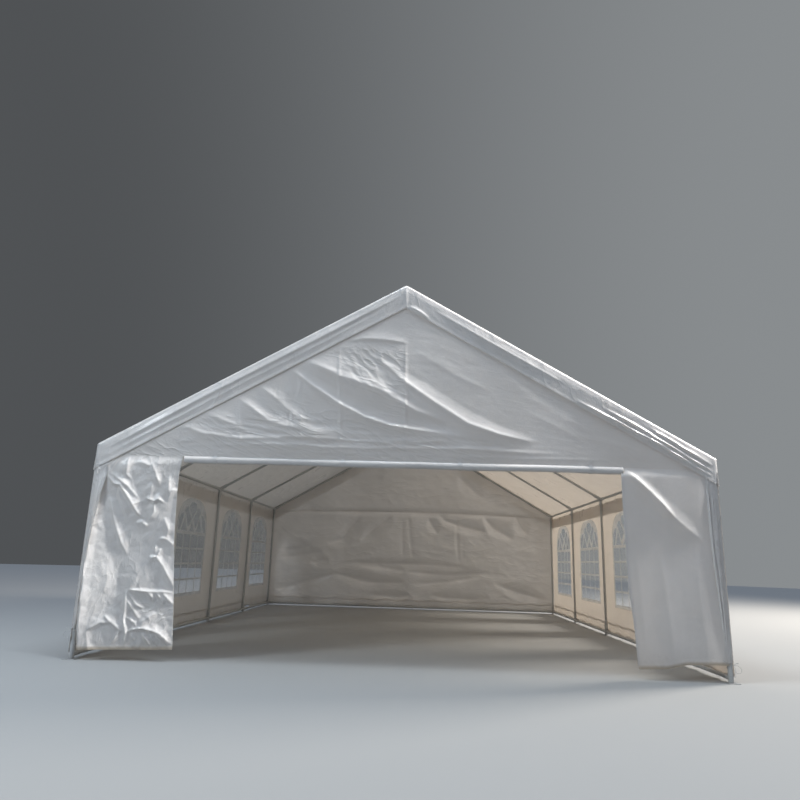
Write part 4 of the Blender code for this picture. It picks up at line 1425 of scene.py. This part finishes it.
zinc_finish = zinc_plate("zinc_plate")
eyelet_shape = ring(EYELET_RADIUS, EYELET_ROLL, 6, 14)
bmesh.ops.scale(eyelet_shape, vec=(1, 1, EYELET_FLATNESS), verts=eyelet_shape.verts[:])
eyelet = pattern_of(eyelet_shape)
facing_side = Matrix.Rotation(math.pi / 2, 4, "Y")
facing_end = Matrix.Rotation(math.pi / 2, 4, "X")
foot_ties, eave_ties = WALL_FOOT + TIE_INSET, WALL_TOP - TIE_INSET
eyelets = bmesh.new()
for rule, places, heights, turned in (
    (wall_rules["left"], TIE_PLACES, (foot_ties, eave_ties), facing_side),
    (wall_rules["right"], TIE_PLACES, (foot_ties, eave_ties), facing_side),
    (hang_rear, REAR_TIE_PLACES, (foot_ties,), facing_end),
):
    for place in places:
        for height in heights:
            spot = layer(rule, CLOTH / 2)(place, height)
            add_at(eyelets, eyelet, Matrix.Translation(spot) @ turned)
lace_heights = {side: even(STRIP_FEET[side] + 0.03, STRIP_TOP - 0.03, LACE_PITCH) for side in (-1, 1)}
for side, heights in lace_heights.items():
    for height in heights:
        spot = Vector((side * (HALF_WIDTH + STRIP_OUT - CLOTH / 2), LACE_INSET - HALF_LENGTH, height))
        add_at(eyelets, eyelet, Matrix.Translation(spot) @ facing_side)
finished("eyelets", eyelets, zinc_finish, "frame_tube")


# Corner laces. A white cord is laced up each front corner, through the strip and the wall behind it. Its
# lower end is wound round the post, and tied off in a bow.
LACE = 0.0028
LACE_STAND = 0.0105
WINDING_STEPS = 24
WINDING_RADIUS = TUBE + LACE / 2
BOW = ((0.075, 0.05), (0.055, -0.03), (0.02, 0.085))


def add_cord(shape, points, thickness=LACE):
    """Adds a round cord along a path, drawn smoothly through its points."""
    path = bpy.data.curves.new("path", "CURVE")
    path.dimensions = "3D"
    path.bevel_depth = thickness / 2
    path.bevel_resolution = 1
    path.use_fill_caps = True
    path.resolution_u = 5
    line = path.splines.new("BEZIER")
    line.bezier_points.add(len(points) - 1)
    for knot, point in zip(line.bezier_points, points):
        knot.co = point
        knot.handle_left_type = knot.handle_right_type = "AUTO"
    holder = bpy.data.objects.new("path", path)
    tube = bpy.data.meshes.new_from_object(holder)
    shape.from_mesh(tube)
    bpy.data.meshes.remove(tube)
    bpy.data.objects.remove(holder)
    bpy.data.curves.remove(path)


for side_name, side in (("left", -1), ("right", 1)):
    laces = bmesh.new()
    heights = lace_heights[side]
    last_stitch = 2 * len(heights) - 2
    stitches = []
    for step in range(last_stitch + 1):
        height = heights[0] + step * (heights[-1] - heights[0]) / last_stitch
        stand = LACE_STAND * math.sin(math.pi * step / 2) - 0.0015
        stitches.append((side * (HALF_WIDTH + STRIP_OUT + stand), LACE_INSET - HALF_LENGTH, height))
    add_cord(laces, stitches)
    foot = STRIP_FEET[side] - 0.015
    winding = []
    for step in range(WINDING_STEPS + 1):
        turn = step * math.pi / 4
        winding.append((side * HALF_WIDTH + WINDING_RADIUS * math.sin(turn),
                        -HALF_LENGTH - WINDING_RADIUS * math.cos(turn), foot - step * LACE / 7))
    add_cord(laces, winding)
    knot = Vector((side * (HALF_WIDTH + 0.008), -HALF_LENGTH - TUBE - 0.004, foot - 0.005))
    for reach, drop in BOW:
        bend = ((0, 0, 0), (side * reach * 0.6, -0.012, 0.012 - drop * 0.2),
                (side * reach, -0.016, -drop * 0.8), (side * reach * 0.55, -0.01, -drop - 0.012),
                (0, -0.003, -0.006))
        add_cord(laces, [knot + Vector(off) for off in bend])
    flap_edge = Vector((side * (HALF_WIDTH - 0.075), -HALF_LENGTH - GABLE_OUT - 0.008, foot + 0.04))
    add_cord(laces, [knot, (knot + flap_edge) / 2 - Vector((0, 0.006, 0.004)), flap_edge])
    finished(f"corner_lace_{side_name}", laces, cord_finish, "webbing")


# Frame screws. Hexagon screws with washers, of zinc plated steel. They clamp the tubes in the sleeves of
# the connectors, on the inner side.
SCREW_HEAD = 0.0065
SCREW_RISE = 0.0052
SCREW_CHAMFER = 0.0009
WASHER = 0.0095
WASHER_THICK = 0.0014
SLEEVE_FACE = TUBE + 0.0042
SCREW_BACK = 0.085


def screw_pattern():
    """A hexagon screw head on its washer, upright on the origin."""
    shape = bmesh.new()
    bmesh.ops.create_cone(shape, cap_ends=True, segments=14, radius1=WASHER, radius2=WASHER * 0.96,
                          depth=WASHER_THICK, matrix=Matrix.Translation((0, 0, WASHER_THICK / 2)))
    middle = WASHER_THICK + SCREW_RISE / 2 + 0.0001
    head = bmesh.ops.create_cone(shape, cap_ends=True, segments=6, radius1=SCREW_HEAD, radius2=SCREW_HEAD,
                                 depth=SCREW_RISE, matrix=Matrix.Translation((0, 0, middle)))["verts"]
    crown = [edge for edge in shape.edges if all(end in head and end.co.z > middle for end in edge.verts)]
    bmesh.ops.bevel(shape, geom=crown, offset=SCREW_CHAMFER, offset_type="OFFSET", affect="EDGES", segments=1,
                    profile=0.5, material=-1)
    return pattern_of(shape)


def upright_on(place, way):
    """A matrix that stands a small piece on a place, pointing along a way."""
    return Matrix.Translation(place) @ Vector(way).to_track_quat("Z", "Y").to_matrix().to_4x4()


screw = screw_pattern()
screws = bmesh.new()
upright = Vector((0, 0, SCREW_BACK))
for side in (-1, 1):
    inward, slope_way = Vector((-side, 0, 0)), Vector((-side * math.cos(PITCH), 0, math.sin(PITCH)))
    under = Vector((-side * math.sin(PITCH), 0, -math.cos(PITCH)))
    for arch in range(BAYS + 1):
        depth = arch * BAY - HALF_LENGTH
        eave_spot, ridge_spot = Vector((side * HALF_WIDTH, depth, EAVE)), Vector((0, depth, RIDGE))
        foot_spot = Vector((side * HALF_WIDTH, depth, rail_height))
        halfway = (eave_spot + ridge_spot) / 2
        seats = [(eave_spot + slope_way * SCREW_BACK, under), (ridge_spot - slope_way * SCREW_BACK, under),
                 (eave_spot - upright, inward), (foot_spot + upright, inward)]
        seats += [(halfway + slope_way * off, under) for off in (-0.05, 0.05)]
        for way in (-1, 1):
            if abs(depth + way * SCREW_BACK) < HALF_LENGTH:
                beside = Vector((0, way * SCREW_BACK, 0))
                seats += [(eave_spot + beside, inward), (foot_spot + beside, inward)]
        for spot, way in seats:
            add_at(screws, screw, upright_on(spot + way * SLEEVE_FACE, way))
finished("frame_screws", screws, zinc_finish, "frame_tube")


# Zips. Each flap carries half of a coarse zip down its doorway edge: a woven tape, sewn to the inner side,
# with moulded teeth along it.
ZIP_TAPE = 0.022
ZIP_CLOTH = 0.0009
ZIP_GRID = 0.011
TOOTH_PITCH = 0.0075
TOOTH_FOOT = 0.0034
TOOTH_TIP = 0.0022
TOOTH_LENGTH = 0.005
zip_tape = tarpaulin("zip_tape", crumple=0.0002, creasing=30.0, soil_reach=0.3)


def tooth_pattern():
    """One moulded tooth: a small block that narrows towards its tip."""
    shape = bmesh.new()
    bmesh.ops.create_cone(shape, cap_ends=True, segments=4, radius1=TOOTH_FOOT, radius2=TOOTH_TIP,
                          depth=TOOTH_LENGTH, matrix=Matrix.Rotation(math.pi / 4, 4, "Z"))
    bmesh.ops.scale(shape, vec=(1.0, 0.8, 1.0), verts=shape.verts[:])
    return pattern_of(shape)


def zip_hanger(rule):
    """Makes the rule by which a zip's tape lies on its flap."""
    def hang(across, up):
        """Where a point of the tape goes: across from the flap's edge inwards, on its inner side."""
        return rule(1 - abs(across) / FLAP_WIDTH, up / FLAP_HEIGHT) + Vector((0, CLOTH + 0.0004, 0))
    return hang


tooth = tooth_pattern()
zip_rows = even(FLAP_HEIGHT * 0.02, FLAP_HEIGHT * 0.98, ZIP_GRID)
for side_name, start, end, outward in (("left", -ZIP_TAPE, 0, 1), ("right", 0, ZIP_TAPE, -1)):
    hang_zip = zip_hanger(flap_rules[side_name])
    tape_cloth = hang_cloth(cut_cloth(even(start, end, ZIP_GRID / 2), zip_rows), hang_zip, ZIP_CLOTH)
    tape = finished(f"zip_tape_{side_name}", tape_cloth, zip_tape, "webbing")
    teeth = bmesh.new()
    for up in even(zip_rows[0], zip_rows[-1], TOOTH_PITCH):
        spot = hang_zip(0, up) + Vector((0, ZIP_CLOTH + 0.0016, 0))
        add_at(teeth, tooth, upright_on(spot, (outward, 0, 0)))
    finished(f"zip_teeth_{side_name}", teeth, cord_finish, "webbing")
